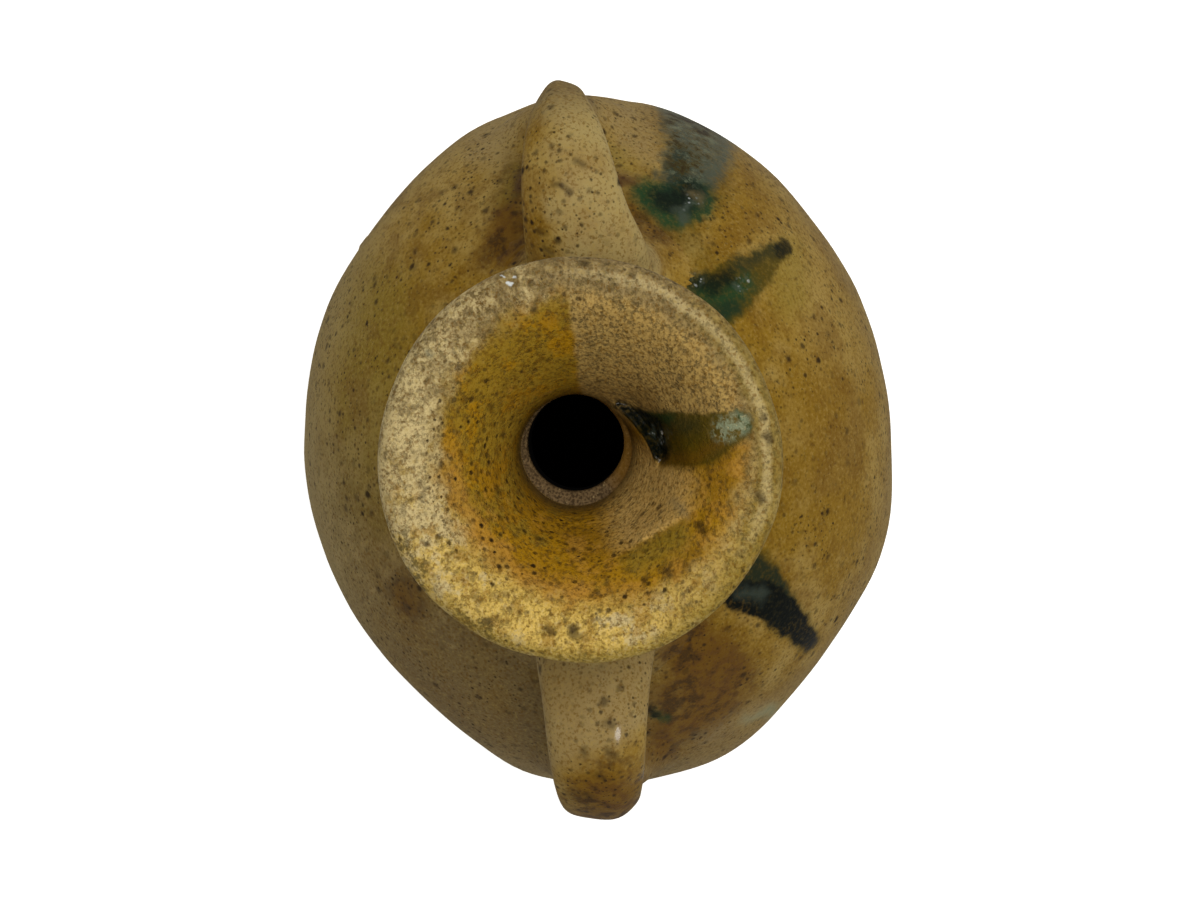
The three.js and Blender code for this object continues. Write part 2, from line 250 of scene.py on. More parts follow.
SHOULDER_RISE = SHOULDER_LEVEL - BELLY_LEVEL
DOME_HEIGHT = quarter_height(HALF_LENGTH, SHOULDER_RADIUS, SHOULDER_RISE, SHOULDER_POWER)
DOME_HEIGHT_ACROSS = quarter_height(HALF_WIDTH, SHOULDER_RADIUS, SHOULDER_RISE, SHOULDER_POWER)
BOWL_HEIGHT = quarter_height(HALF_LENGTH, BASE_HALF_LENGTH, BELLY_LEVEL, 2)
BOWL_HEIGHT_ACROSS = quarter_height(HALF_WIDTH, BASE_HALF_WIDTH, BELLY_LEVEL, 2)


def reach(level, half, dome, bowl):
    """Half the body's size at a level: along the handles or across them."""
    above = level > BELLY_LEVEL
    height, power = (dome, SHOULDER_POWER) if above else (bowl, 2)
    share = min(abs(level - BELLY_LEVEL) / height, 1)
    return half * (1 - share**power) ** (1 / power)


def shortfall(level, radius):
    """By how much the half width falls short of the half length: all of it in the wall, and less
    towards the axis."""
    if level > SHOULDER_LEVEL:
        return 0.0
    along = reach(level, HALF_LENGTH, DOME_HEIGHT, BOWL_HEIGHT)
    short = along - reach(level, HALF_WIDTH, DOME_HEIGHT_ACROSS, BOWL_HEIGHT_ACROSS)
    return short * min(radius / (along - 2 * WALL), 1)


def shoulder_level(radius):
    return BELLY_LEVEL + DOME_HEIGHT * (1 - (radius / HALF_LENGTH) ** SHOULDER_POWER) ** (
        1 / SHOULDER_POWER
    )


def curve_points(points, spacing=FINE):
    """A polyline with points a fixed spacing apart."""
    points = np.array(points, float)
    steps = np.linalg.norm(np.diff(points, axis=0), axis=1)
    run = np.concatenate([[0], np.cumsum(steps)])
    places = np.linspace(0, run[-1], max(int(round(run[-1] / spacing)), 1) + 1)
    return np.stack([np.interp(places, run, points[:, i]) for i in range(points.shape[1])], axis=1)


def bezier(*controls, count=60):
    """Points on a Bezier curve of any degree."""
    points = [np.outer(np.ones(count + 1), c) for c in np.array(controls, float)]
    t = np.linspace(0, 1, count + 1)[:, None]
    while len(points) > 1:
        points = [a * (1 - t) + b * t for a, b in zip(points, points[1:])]
    return points[0]


def arc(centre, radius, start, end, count=24):
    angles = np.radians(np.linspace(start, end, count + 1))
    return np.stack([centre[0] + radius * np.cos(angles), centre[1] + radius * np.sin(angles)], axis=1)


def body_outline(low, high):
    """The body's face in the handles' plane, between two levels up to the shoulder's end."""
    angles = np.linspace(-math.pi / 2, math.pi / 2, 1201)
    power = np.where(angles > 0, SHOULDER_POWER, 2)
    height = np.where(angles > 0, DOME_HEIGHT, BOWL_HEIGHT)
    radius = HALF_LENGTH * np.cos(angles) ** (2 / power)
    level = BELLY_LEVEL + np.sign(angles) * height * np.abs(np.sin(angles)) ** (2 / power)
    inside = (level > low) & (level < high)
    ends = [np.interp([z], level, radius)[0] for z in (low, high)]
    return np.vstack([[ends[0], low], np.stack([radius, level], axis=1)[inside], [ends[1], high]])


def collar_outline(top):
    """The hollow from the shoulder's end up to the collar's top."""
    step = 0.5 * MM
    slope = (shoulder_level(SHOULDER_RADIUS - step) - SHOULDER_LEVEL) / step
    corner = SHOULDER_LEVEL + slope * (SHOULDER_RADIUS - COLLAR_RADIUS)
    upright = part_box("collar_slip")[0].z - COLLAR_STRAIGHT
    hollow = bezier((SHOULDER_RADIUS, SHOULDER_LEVEL), (COLLAR_RADIUS, corner), (COLLAR_RADIUS, upright))
    return np.vstack([hollow, [COLLAR_RADIUS, top]])


def inner_face(face, thickness):
    """The same line, a wall's thickness inside. Its ends keep their levels."""
    along = np.gradient(face, axis=0)
    along /= np.linalg.norm(along, axis=1)[:, None]
    inside = face - thickness * np.stack([along[:, 1], -along[:, 0]], axis=1)
    for end in (0, -1):
        inside[end] = face[end] - (thickness / along[end, 1], 0)
    return inside


def wall_profile(face):
    """A closed loop round a wall: up its face and down its inside."""
    inside = curve_points(inner_face(face, WALL)[::-1], 3 * FINE)
    return np.vstack([face, inside, face[:1]])


print("belly", round(2 * HALF_LENGTH / MM), "by", round(2 * HALF_WIDTH / MM), "mm")

# %% [markdown]
# ## The glaze
# Lead glaze is a coat of coloured glass. Where it is thick it is amber and wet, where it is thin
# or worn the clay shows dull and tan, and iron grains in the clay bleed through as dark specks.
# Copper brushed on before the firing ran into green splashes that are nearly black in the middle.
# One class lays such coats over each other. It works on Object coordinates in millimetres, so a
# splash that crosses from one piece to the next goes on without a break. Places of splashes and
# stains are given as seen from above, because that is how the shoulder and the mouth lie open.

# %% Coats
def paint(red, green, blue):
    """A colour in screen values, turned into the shader's linear ones."""
    shares = [c / 255 for c in (red, green, blue)]
    return (*[s / 12.92 if s <= 0.04 else ((s + 0.055) / 1.055) ** 2.4 for s in shares], 1.0)


class Finish(Bench):
    """The nodes of one finish: a ground and the coats laid over it."""

    def __init__(self, name):
        self.material = bpy.data.materials.new(name)
        self.material.use_nodes = True
        super().__init__(self.material.node_tree)
        self.tree.nodes.clear()
        self.place = self.scaled(self.node("ShaderNodeTexCoord")["Object"], 1 / MM)
        self.x, self.y, self.z = self.parts(self.place)
        self.radius = self.math("SQRT", self.x * self.x + self.y * self.y)
        self.upper = self.smooth(self.z, 90, 130)  # daubs fade out below the belly
        self.rise = 0.0
        self.glow = (0.0, 0.0, 0.0, 1.0)

    def moved(self, place, seed):
        """The same places, but far away in the noise."""
        return self.vector("ADD", place, (seed * 131.0, seed * 57.0, seed * 83.0))

    def cloud(self, size, seed, detail=2.0, roughness=0.5):
        """Noise round 0.5 whose clouds are about a size across."""
        sockets = {"Vector": self.moved(self.place, seed), "Scale": 1 / size}
        sockets.update({"Detail": detail, "Roughness": roughness})
        return self.node("ShaderNodeTexNoise", sockets=sockets)[0]

    def shaken(self, size, amount, seed):
        """Places pushed about by noise, so that an outline drawn on them is ragged."""
        sockets = {"Vector": self.moved(self.place, seed), "Scale": 1 / size}
        sockets.update({"Detail": 3.0, "Roughness": 0.6})
        noise = self.node("ShaderNodeTexNoise", sockets=sockets)[1]
        push = self.vector("SUBTRACT", noise, (0.5, 0.5, 0.5))
        return self.vector("ADD", self.place, self.scaled(push, 2 * amount))

    def plan(self, place):
        """Places as seen from above."""
        return self.vector("MULTIPLY", place, (1.0, 1.0, 0.0))

    def toward(self, degrees):
        """From 1 on the side of the jug at an angle to -1 on the other side."""
        angle = math.radians(degrees)
        return (self.x * math.cos(angle) + self.y * math.sin(angle)) / (self.radius + 0.1)

    def specks(self, gap, size, share, seed, soft=0.6):
        """Ragged specks a gap apart, of several sizes. Only a share of the places has one."""
        ragged = self.moved(self.shaken(1.1 * size, 0.45 * size, seed), seed)
        cell = self.node("ShaderNodeTexVoronoi", sockets={"Vector": ragged, "Scale": 1 / gap})
        luck, girth, depth = self.parts(cell["Color"])
        reach = self.math("LESS_THAN", luck, share) * (0.3 + girth) * size
        return self.smooth(cell["Distance"] * gap, reach, reach * (1 - soft)) * (0.3 + 0.7 * depth)

    def bar(self, place, start, end):
        """Distance to a tapering bar between two points; a point is x, y and the radius there."""
        along = Vector((end[0] - start[0], end[1] - start[1], 0.0))
        from_start = self.vector("SUBTRACT", place, (start[0], start[1], 0.0))
        share = self.vector("DOT_PRODUCT", from_start, tuple(along / along.length_squared))
        share = self.math("MINIMUM", self.math("MAXIMUM", share, 0.0), 1.0)
        gap = self.vector("SUBTRACT", from_start, self.scaled(tuple(along), share))
        return self.vector("LENGTH", gap) - (start[2] + share * (end[2] - start[2]))

    def run(self, place, *points):
        """Distance to a run of glaze through several points."""
        gaps = [self.bar(place, a, b) for a, b in zip(points, points[1:])]
        nearest = gaps[0]
        for gap in gaps[1:]:
            nearest = self.math("MINIMUM", nearest, gap)
        return nearest

    def daub(self, place, soft, points):
        """1 on a run of glaze, with soft edges."""
        return self.smooth(self.run(place, *points), soft, -soft) * self.upper

    def mix(self, share, under, over):
        made = self.node("ShaderNodeMix", {"data_type": "RGBA"}, {0: share, 6: under, 7: over})
        return made[2]

    def ground(self, colour, rough, gloss):
        self.colour, self.rough, self.gloss = colour, rough, gloss

    def lay(self, mask, colour=None, rough=None, gloss=None, rise=None):
        """Lays a coat where the mask is 1."""
        if colour is not None:
            self.colour = self.mix(mask, self.colour, colour)
        if rough is not None:
            self.rough = self.rough + mask * (rough - self.rough)
        if gloss is not None:
            self.gloss = self.gloss + mask * (gloss - self.gloss)
        if rise is not None:
            self.rise = self.rise + mask * rise

    def fire(self):
        """Joins the coats in one shader and gives back the material."""
        bump = self.node("ShaderNodeBump", sockets={"Height": self.rise, "Distance": MM})
        sockets = {
            "Emission Color": self.glow,
            "Emission Strength": 0.7,
            "Base Color": self.colour,
            "Roughness": self.rough,
            "Coat Weight": self.gloss,
            "Coat Roughness": 0.12,
            "Specular IOR Level": 0.06,
            "Normal": bump["Normal"],
        }
        shader = self.node("ShaderNodeBsdfPrincipled", sockets=sockets)
        self.node("ShaderNodeOutputMaterial", sockets={"Surface": shader["BSDF"]})
        print(self.material.name, "has", len(self.tree.nodes), "nodes")
        return self.material


# %% [markdown]
# Colours are named as a glaze maker would: amber is the thick lead glaze, ochre the thinner, dun
# the dull coat where the clay shows through, and umber the iron specks.

# %% Colours
AMBER = paint(134, 103, 27)
OCHRE = paint(156, 130, 66)
HONEY = paint(158, 116, 10)
MOSS = paint(128, 108, 34)
TOFFEE = paint(142, 103, 14)
SIENNA = paint(104, 72, 14)
RUST = paint(80, 50, 24)
UMBER = paint(40, 28, 12)
DUN = paint(144, 124, 80)
MUD = paint(112, 94, 60)
SAND = paint(174, 144, 82)
OAT = paint(158, 140, 90)
BISCUIT = paint(190, 156, 92)
BUFF = paint(196, 177, 126)
STRAW = paint(210, 177, 88)
ROSE = paint(184, 134, 58)
ASH = paint(84, 74, 42)
GRIME = paint(60, 46, 28)
ROSE_CLAY = paint(104, 84, 56)
CLAY = paint(150, 122, 84)
SHADE_BLACK = paint(6, 5, 4)
EMERALD = paint(20, 58, 32)
BOTTLE_GREEN = paint(26, 38, 26)
BLACK_GREEN = paint(9, 13, 9)
OLIVE = paint(74, 62, 10)
SLATE = paint(76, 86, 74)
SEA_GREY = paint(134, 142, 112)
FROST = paint(205, 210, 208)
print("a palette of 28 colours")

# %% [markdown]
# The green splashes were flicked on with a brush. Each is made of several daubs that lie over each
# other, as the glaze shows it: a thin olive margin, green where the copper is thicker, black where
# it is thickest, and slate grey where it came out of the glass again in the cooling. Pale specks on
# some of it are painted glints, and one slate daub on the near splash is a painted reflection on the
# wet glaze. A daub is a run through a few points with a width at each. Noise pushes the places about
# before the distance is taken, so the outline comes out ragged.

# %% Green splashes
def copper(finish, place, layers, seed):
    """Lays the daubs of one splash: colour, share, softness of the edge in mm and its points."""
    patches, flecks = finish.cloud(3.5, seed, 4.0, 0.6), finish.cloud(1.3, seed + 1, 3.0, 0.65)
    for colour, share, soft, points in layers:
        mask = finish.smooth(finish.run(place, *points) + 2.2 * soft * (patches - 0.5), soft, -soft)
        mask = mask * finish.upper * share * (0.75 + finish.smooth(flecks, 0.35, 0.55) * 0.25)
        finish.lay(mask, colour, rough=0.3, gloss=0.3)


def glinting_beds(finish, place, points, seed):
    """Pale specks in a slate-grey bed; the pale specks are painted glints on the wet glaze."""
    bed = finish.daub(place, 1.6, points)
    finish.lay(bed * finish.smooth(finish.cloud(2.5, seed, 3.0), 0.42, 0.6) * 0.6, SLATE)
    finish.lay(bed * finish.specks(1.3, 0.7, 0.6, seed) * 0.8, FROST, rough=0.25)


FAR_SPLASH = [
    (OLIVE, 0.6, 5.0, [(72, -21, 6), (67.5, -30, 9), (74, -36, 9)]),
    (SLATE, 0.8, 3.0, [(76, -33, 8), (86, -38, 10), (104, -39, 13)]),
    (BOTTLE_GREEN, 0.25, 6.0, [(80, -35, 7), (104, -38, 10)]),
    (BOTTLE_GREEN, 0.75, 2.5, [(74, -30, 5), (83, -31, 3.5)]),
    (EMERALD, 0.9, 2.0, [(72, -20.5, 4.0), (66.5, -28.5, 6.2), (69, -35, 6.0)]),
    (BOTTLE_GREEN, 0.9, 2.6, [(70, -25, 3.0), (68.5, -31, 5.0), (71.5, -35, 4.6)]),
    (BLACK_GREEN, 0.7, 2.6, [(71, -23, 1.6), (68, -29, 2.6), (72, -33, 3.0)]),
    (SLATE, 0.5, 1.5, [(63.5, -31, 1.8), (66, -30, 1.8)]),
    (DUN, 0.35, 2.2, [(69, -36.5, 0.8), (71, -34, 0.6)]),
]
MIDDLE_SPLASH = [
    (OLIVE, 0.4, 5.0, [(57, -31, 4), (48, -37, 5)]),
    (OLIVE, 0.95, 1.2, [(41, -41, 8.4), (46.2, -49.2, 6.2), (51.5, -56.5, 3.5), (53.5, -59.5, 3.0)]),
    (BOTTLE_GREEN, 0.6, 2.0, [(49, -46, 2.6), (52.5, -54, 1.6), (53.5, -58, 2.0)]),
    (EMERALD, 0.85, 3.0, [(44.5, -31.5, 2.4), (39, -41, 5.0), (43, -46.5, 3.8)]),
    (BLACK_GREEN, 0.8, 2.4, [(45, -31.5, 1.8), (44, -38, 3.2), (45.5, -43, 2.4)]),
    (BOTTLE_GREEN, 0.6, 2.4, [(36, -39, 2.4), (37, -44, 2.0)]),
    (BLACK_GREEN, 0.75, 0.8, [(53.4, -59.2, 2.3), (54, -60, 2.4)]),
]
NEAR_SPLASH = [
    (OLIVE, 0.7, 1.6, [(-37, -44, 6.0), (-46, -47.5, 6.8), (-56, -55, 5.2), (-64, -60.5, 3.6)]),
    (BOTTLE_GREEN, 0.9, 1.2, [(-37, -43, 4.6), (-44, -47.5, 5.6), (-52, -52, 4.6)]),
    (BLACK_GREEN, 1.0, 0.9, [(-45, -38.5, 4.4), (-47, -46.5, 5.6), (-55.5, -54.5, 4.6), (-64, -60.5, 2.8)]),
    # Painted reflection: this slate daub is the grey sheen of the wet glaze at the splash's upper end.
    (SLATE, 0.45, 2.4, [(-44.5, -40, 1.6), (-45.5, -45.5, 2.0)]),
]
SMALL_SPLASH = [
    (EMERALD, 0.7, 1.2, [(-79.5, -13, 1.6), (-81.5, -15.5, 1.6)]),
    (BLACK_GREEN, 0.8, 1.0, [(-77.5, -11.5, 1.2), (-79.5, -13, 1.2)]),
]
print("four splashes on the shoulder")

# %% [markdown]
# The amber glaze of the walls and straps: clouds of amber and ochre with a mossy side, dull patches
# where the glaze is thin, a pale band round the belly and a paler side, both painted sheen, iron
# specks of several sizes, and runs that end above the foot. In the corners beside the straps the
# glaze pooled brown and wet, and the dark brown there is partly painted shade under the strap. The
# far strap is dull on one side. The near strap is dull on its crest and amber below.

# %% Where the glaze differs
RICH_PATCHES = [
    [(-43, 56, 4), (-38, 59, 5)],
    [(-58, -24, 9), (-70, -30, 13), (-84, -27, 10)],
    [(-72, -18, 5), (-92, -15, 6)],
    [(82, 17, 3), (60, 20, 7)],
    [(68, -16, 3), (60, -24, 3)],
]
DULL_PATCHES = [
    [(101, -15, 8), (92, -18, 7), (86, -23, 5)],
    [(104, 20, 8), (90, 26, 6)],
    [(-92, -28, 3), (-84, -44, 4)],
]
YELLOW_PATCHES = [
    [(85, -13, 2.0), (80, -15.5, 2.4)],
    [(83, 17, 2), (74, 20, 3)],
    [(52, -62, 5), (40, -60, 6)],
]
SHADED_POOLS = [[(76.5, -12, 2.2), (75.5, -18.0, 1.6)], [(79.5, 15.5, 0.8), (76, 16.5, 0.8)]]
GLINT_BEDS = [
    [(43, -46, 1.6), (44.5, -47.5, 1.2)],
    [(45.5, -32.5, 1.0), (45, -34, 1.0)],
    [(69, -34.5, 1.2), (68, -32, 1.0)],
]
MOSSY_SIDE = [(45, 62, 14), (-12, 70, 14)]
SUNNY_SIDE = [(55, -62, 8), (28, -72, 9)]
AMBER_SIDE = [(10, -70, 9), (-12, -68, 9)]
PALE_SPOT = [(-88.3, -41, 1.0), (-87, -48, 2.4)]
HAZE = [(78, -33, 5), (102, -39, 11)]
STRAP_PATCH = [(-92, 2, 9), (-106, 2, 12)]
WET_STRIP = [(-74, -5, 3), (-88, -6, 4)]
STRAP_STAINS = [(-80, 6), (-81, 0), (-87, 4), (-73, -1), (-94, 7), (72, 3), (78, -3), (60, 9), (55, 7)]
print(len(RICH_PATCHES), "rich,", len(DULL_PATCHES), "dull and", len(YELLOW_PATCHES), "yellow patches")

# %% [markdown]
# Iron in the clay bleeds through as dark specks of several sizes, crowded in some places and rare
# in others. Noise alone gives clouds and no specks, so a speck is the middle of a Voronoi cell
# whose outline is shaken.

# %% Iron specks
SPECKS = ((1.3, 0.5, 0.8, 21), (2.3, 0.85, 0.8, 22), (4.4, 1.5, 0.75, 23))  # gap, size, share, seed


def speckle(finish, strength, light):
    """Iron specks of several sizes, thicker in some places than in others, on a grainy coat."""
    grain = finish.cloud(1.1, 12, 3.0, 0.65)
    finish.lay(finish.smooth(grain, 0.5, 0.66) * 0.6, SIENNA)
    finish.lay(finish.smooth(grain, 0.48, 0.32) * 0.45 * light, OCHRE)
    finish.lay(grain, rise=0.2)
    crowd = 0.45 + 0.55 * finish.smooth(finish.cloud(20, 11, 3.0), 0.4, 0.56)
    for gap, size, share, seed in SPECKS:
        mask = finish.specks(gap, size, share, seed, 0.7) * crowd
        finish.lay(mask * strength, UMBER)


print("specks of", len(SPECKS), "sizes")

# %% [markdown]
# The straps carry the wall's glaze at their roots and a look of their own away from the wall. The
# share between the two follows the distance from the wall, by the rule of the jug's outline.

# %% The straps' own look
def off_wall(finish):
    """1 on a strap, 0 where it meets the body's wall."""
    share = finish.math("MAXIMUM", finish.z - BELLY_LEVEL / MM, 0.0) / (DOME_HEIGHT / MM)
    left = finish.math("MAXIMUM", 1 - share**SHOULDER_POWER, 0.0)
    return finish.smooth(abs(finish.x) - HALF_LENGTH / MM * left ** (1 / SHOULDER_POWER), 1, 9)


def strap_dullness(finish):
    """How dull the far strap (where x is positive) and the near strap are."""
    ragged = 14 * (finish.cloud(9, 5, 4.0) - 0.5)
    far = 0.95 * finish.smooth(finish.y + ragged, 8, 1)
    far = finish.math("MAXIMUM", far, finish.smooth(finish.x + ragged, 88, 100))
    near = finish.smooth(finish.x + 0.5 * finish.y + ragged, -85, -77)
    corner = finish.smooth(finish.y + ragged, -4, -9) * finish.smooth(finish.x + ragged, -92, -98)
    near = finish.math("MAXIMUM", near, corner)
    return near + finish.smooth(finish.x, -1, 1) * (far - near)


# %% [markdown]
# The coats are laid from the ground up: clouds of glaze, the places where it is thick or dull, the
# painted sheen and the wear, the specks, and last the copper and the bare clay at the foot.

# %% Coats of the amber glaze
def cloudy_ground(finish, wide, middle, fine, ragged):
    """Clouds of amber and ochre, with a sunny, an amber and a mossy side."""
    finish.ground(finish.mix(finish.smooth(wide + middle, 0.85, 1.2), AMBER, OCHRE), 0.5, 0.06)
    finish.lay(finish.daub(ragged, 10, SUNNY_SIDE) * 0.85, OCHRE)
    amber_side = finish.daub(ragged, 10, AMBER_SIDE)
    finish.lay(amber_side * 0.8, AMBER)
    finish.lay(amber_side * 0.3, SIENNA)
    finish.lay(finish.daub(ragged, 10, MOSSY_SIDE) * 0.7, MOSS)
    finish.lay(finish.smooth(finish.cloud(18, 4, 4.0), 0.5, 0.62) * 0.45, SIENNA)
    finish.lay(finish.smooth(fine, 0.5, 0.66) * 0.35, SIENNA)


def walls_sheen_and_wear(finish, middle, fine, ragged, wall):
    """The walls' coats: a pale band round the belly and a paler side, both painted sheen, and dull and yellow
    patches.
    """
    # Painted sheen: a pale grey dull band where the belly turns away from above.
    belly_sheen = finish.smooth(finish.z + 30 * (middle - 0.5), 172, 138) * wall
    finish.lay(belly_sheen * 0.7, DUN, rough=0.65, gloss=0.0)
    # Painted light: the side away from the lamps is made paler.
    painted_light_side = finish.smooth(finish.toward(85), 0.6, 0.95) * finish.smooth(finish.z, 190, 160)
    finish.lay(painted_light_side * wall * 0.5, OAT)
    for points in DULL_PATCHES:
        worn = finish.daub(ragged, 5, points) * (0.4 + 0.6 * fine) * wall
        finish.lay(worn, DUN, rough=0.65, gloss=0.0)
    for points in YELLOW_PATCHES:
        finish.lay(finish.daub(ragged, 4, points) * 0.6 * wall, MOSS)


def splashed(finish, ragged, blown):
    """A pale spot, the green splashes, the haze below the far one, and pale specks painted as glints."""
    finish.lay(finish.daub(ragged, 3, PALE_SPOT) * 0.55, SEA_GREY)
    for number, layers in enumerate((FAR_SPLASH, MIDDLE_SPLASH, NEAR_SPLASH, SMALL_SPLASH)):
        copper(finish, blown, layers, 40 + 7 * number)
    haze = finish.daub(blown, 3, HAZE)
    drift = finish.cloud(7, 8, 6.0, 0.75)
    finish.lay(haze * finish.smooth(drift, 0.48, 0.56) * 0.75, OLIVE)
    finish.lay(haze * finish.smooth(drift, 0.51, 0.6) * 0.75, UMBER)
    finish.lay(haze * finish.smooth(drift, 0.46, 0.38) * 0.3, SEA_GREY)
    for number, points in enumerate(GLINT_BEDS):
        glinting_beds(finish, blown, points, 51 + number)


def bare_foot(finish):
    """Runs of glaze that end above the foot, with bare clay below them."""
    flat = finish.plan(finish.place)
    runs = finish.node("ShaderNodeTexNoise", sockets={"Vector": flat, "Scale": 0.06, "Detail": 2.0})[0]
    finish.lay(finish.smooth(finish.z - 60 * runs, 2, -2), CLAY, rough=0.85, gloss=0.0)


# %% Amber glaze of the walls and the straps
def amber_finish(name, on_straps):
    """The glaze of the walls, or of the straps, which look like the wall at their roots."""
    finish = Finish(name)
    wide, middle, fine = finish.cloud(60, 1), finish.cloud(12, 2, 4.0), finish.cloud(4, 3, 4.0, 0.6)
    ragged = finish.plan(finish.shaken(10, 4.0, 31))
    blown = finish.plan(finish.shaken(5, 2.0, 32))
    cloudy_ground(finish, wide, middle, fine, ragged)
    dull = finish.smooth(0.55 * finish.y - 0.75 * finish.x + 60 * (wide - 0.5), 12, 80)
    thick = 0.0
    for points in RICH_PATCHES:
        thick = finish.math("MAXIMUM", finish.daub(ragged, 5, points), thick)
    dusty = finish.mix(finish.smooth(fine + middle + 0.006 * finish.x, 0.8, 1.1), MUD, DUN)
    strap = 0.0
    if on_straps:
        strap = off_wall(finish)
        dull = dull + strap * (strap_dullness(finish) - dull)
        thick = thick + strap * (finish.daub(ragged, 5, STRAP_PATCH) - thick)
        tan = finish.mix(finish.smooth(fine + middle + 0.002 * finish.x, 0.9, 1.2), DUN, OAT)
        tan = finish.mix(finish.smooth(finish.x + 12 * (middle - 0.5), 88, 102) * 0.9, tan, MUD)
        dusty = finish.mix(strap, dusty, tan)
    finish.lay(thick * (0.6 + 0.8 * fine) * (1 - 0.25 * strap), SIENNA, gloss=0.25)
    finish.lay(thick * finish.smooth(fine, 0.44, 0.58) * 0.45, RUST)
    finish.lay(thick * finish.smooth(fine + middle, 0.95, 1.15) * 0.6, UMBER)
    finish.lay(dull * (1 - 0.8 * thick) * (0.45 + 0.8 * middle), dusty, rough=0.7, gloss=0.0)
    walls_sheen_and_wear(finish, middle, fine, ragged, 1 - strap)
    speckle(finish, 1.0, 1 - 0.9 * thick)
    # Partly painted shade: the dark brown pools beside the far strap stand for the shade under it; their wet
    # gloss is the glaze's own.
    for points in SHADED_POOLS:
        pool = finish.daub(blown, 2.0, points) * (1 - strap)
        finish.lay(pool * 0.85, RUST, rough=0.12, gloss=1.0, rise=0.5)
    if on_straps:
        finish.lay(finish.daub(ragged, 3, WET_STRIP), rough=0.15, gloss=0.9)
        for x, y in STRAP_STAINS:
            finish.lay(finish.daub(ragged, 1.2, [(x, y, 1.0), (x - 1, y - 1, 0.8)]) * 0.6, UMBER)
    else:
        splashed(finish, ragged, blown)
        bare_foot(finish)
    return finish.fire()


amber_glaze = amber_finish("amber_glaze", False)
strap_glaze = amber_finish("strap_glaze", True)

# %% [markdown]
# The mouth shows every stage of wear: the funnel is thick glossy glaze with pits and throwing
# lines, two patches of it are bare of gloss, and the lip is worn to a pale grainy buff that is
# yellower on the near side and greyer on the far side. The wear reaches further in on one side.
# The streak of copper ends sharply at the crest beside the hole, because the glaze pooled behind it.

# %% Places in the mouth
CREST_LINE = ((50, 14.9), (78, 17.6), (102, 21.6))  # degrees round the hole and millimetres from it
HOLE = (3.1, 2.4)
STREAK_LAYERS = [
    (OLIVE, 0.5, 1.4, [(9, -13, 2.5), (2.8, -22, 7.0), (2.2, -29, 6.6), (5.6, -39, 3.6)]),
    (OLIVE, 0.95, 0.6, [(9, -13, 2.0), (3.4, -22, 6.8), (3.2, -29, 6.4), (6.2, -39, 3.5)]),
    (SIENNA, 0.6, 1.6, [(-2.2, -20, 1.4), (-1.6, -28, 1.6), (2.0, -34, 1.2)]),
    (BOTTLE_GREEN, 0.6, 2.6, [(7.5, -22, 2.5), (6.5, -27, 2.6)]),
    (EMERALD, 0.6, 1.2, [(9.2, -17.5, 1.2), (8.8, -22.5, 1.4)]),
    (BLACK_GREEN, 1.0, 1.0, [(12.4, -10.0, 1.2), (9.2, -14.5, 2.4), (6.0, -17.5, 3.6), (0.4, -19.4, 2.8)]),
    (EMERALD, 0.8, 0.6, [(9.6, -38.6, 0.5), (5.8, -41.4, 0.7), (4.4, -40.0, 0.4)]),
]
PALE_END = [(5.4, -35.4, 3.0), (6.6, -39.2, 2.6)]
SMEAR_PATCH = [(-3, -17, 5), (-9, -18, 9), (-16, -14, 9)]
SMEAR_START, SMEAR_END = (-22.3, -11.7), (-14.8, -25.9)
YELLOW_POOL = [(-25, -12, 3.5), (-20, -21, 4.5)]
WEAR_CENTRE = (2.5, -3.0, 0.0)
LIP_STAINS = [(-19, -29, 1.0), (2, -46, 1.1), (-29, -20, 1.0), (-42, 4, 1.2), (-41, 10, 0.9), (-12, -43, 1.0)]
LIP_PATCHES = [[(-16, 45, 2), (-26, 41, 3)], [(-36, 29, 2), (-40, 22, 2)]]
LIP_HIGHLIGHT = [(20, 42, 2), (32, 35, 3), (41, 22, 3)]
CHIPS = [(43.6, 14, 0.5), (45.4, 13, 0.25), (46, 15.4, 0.2)]
GREY_SPOT = [(29, 34.8, 0.6), (28.4, 34, 0.6)]
SMEAR_STAIN = [(-12.5, -22.4, 1.0), (-15, -24.4, 1.2)]
STREAK_GLINTS = [(5.5, -19, 1.2), (4, -20.5, 1.4)]


def past_smear(finish):
    """Millimetres past the smear's edge, away from the hole."""
    along = Vector(SMEAR_END) - Vector(SMEAR_START)
    along.normalize()
    return (finish.x - SMEAR_START[0]) * along.y - (finish.y - SMEAR_START[1]) * along.x


def behind_crest(finish):
    """1 on the far side of the crest that runs out from the hole, 0 on the hole's side."""
    across, along = finish.x - HOLE[0], HOLE[1] - finish.y
    clock = finish.math("ARCTAN2", along, across) * (180 / math.pi)
    crest = 0.0
    for (start, inner), (end, outer) in zip(CREST_LINE, CREST_LINE[1:]):
        crest = finish.math("MAXIMUM", crest, inner + (clock - start) * ((outer - inner) / (end - start)))
    distance = finish.math("SQRT", across * across + along * along)
    return finish.smooth(distance - crest, -1.4, -1.0)


print("the streak has", len(STREAK_LAYERS), "layers")

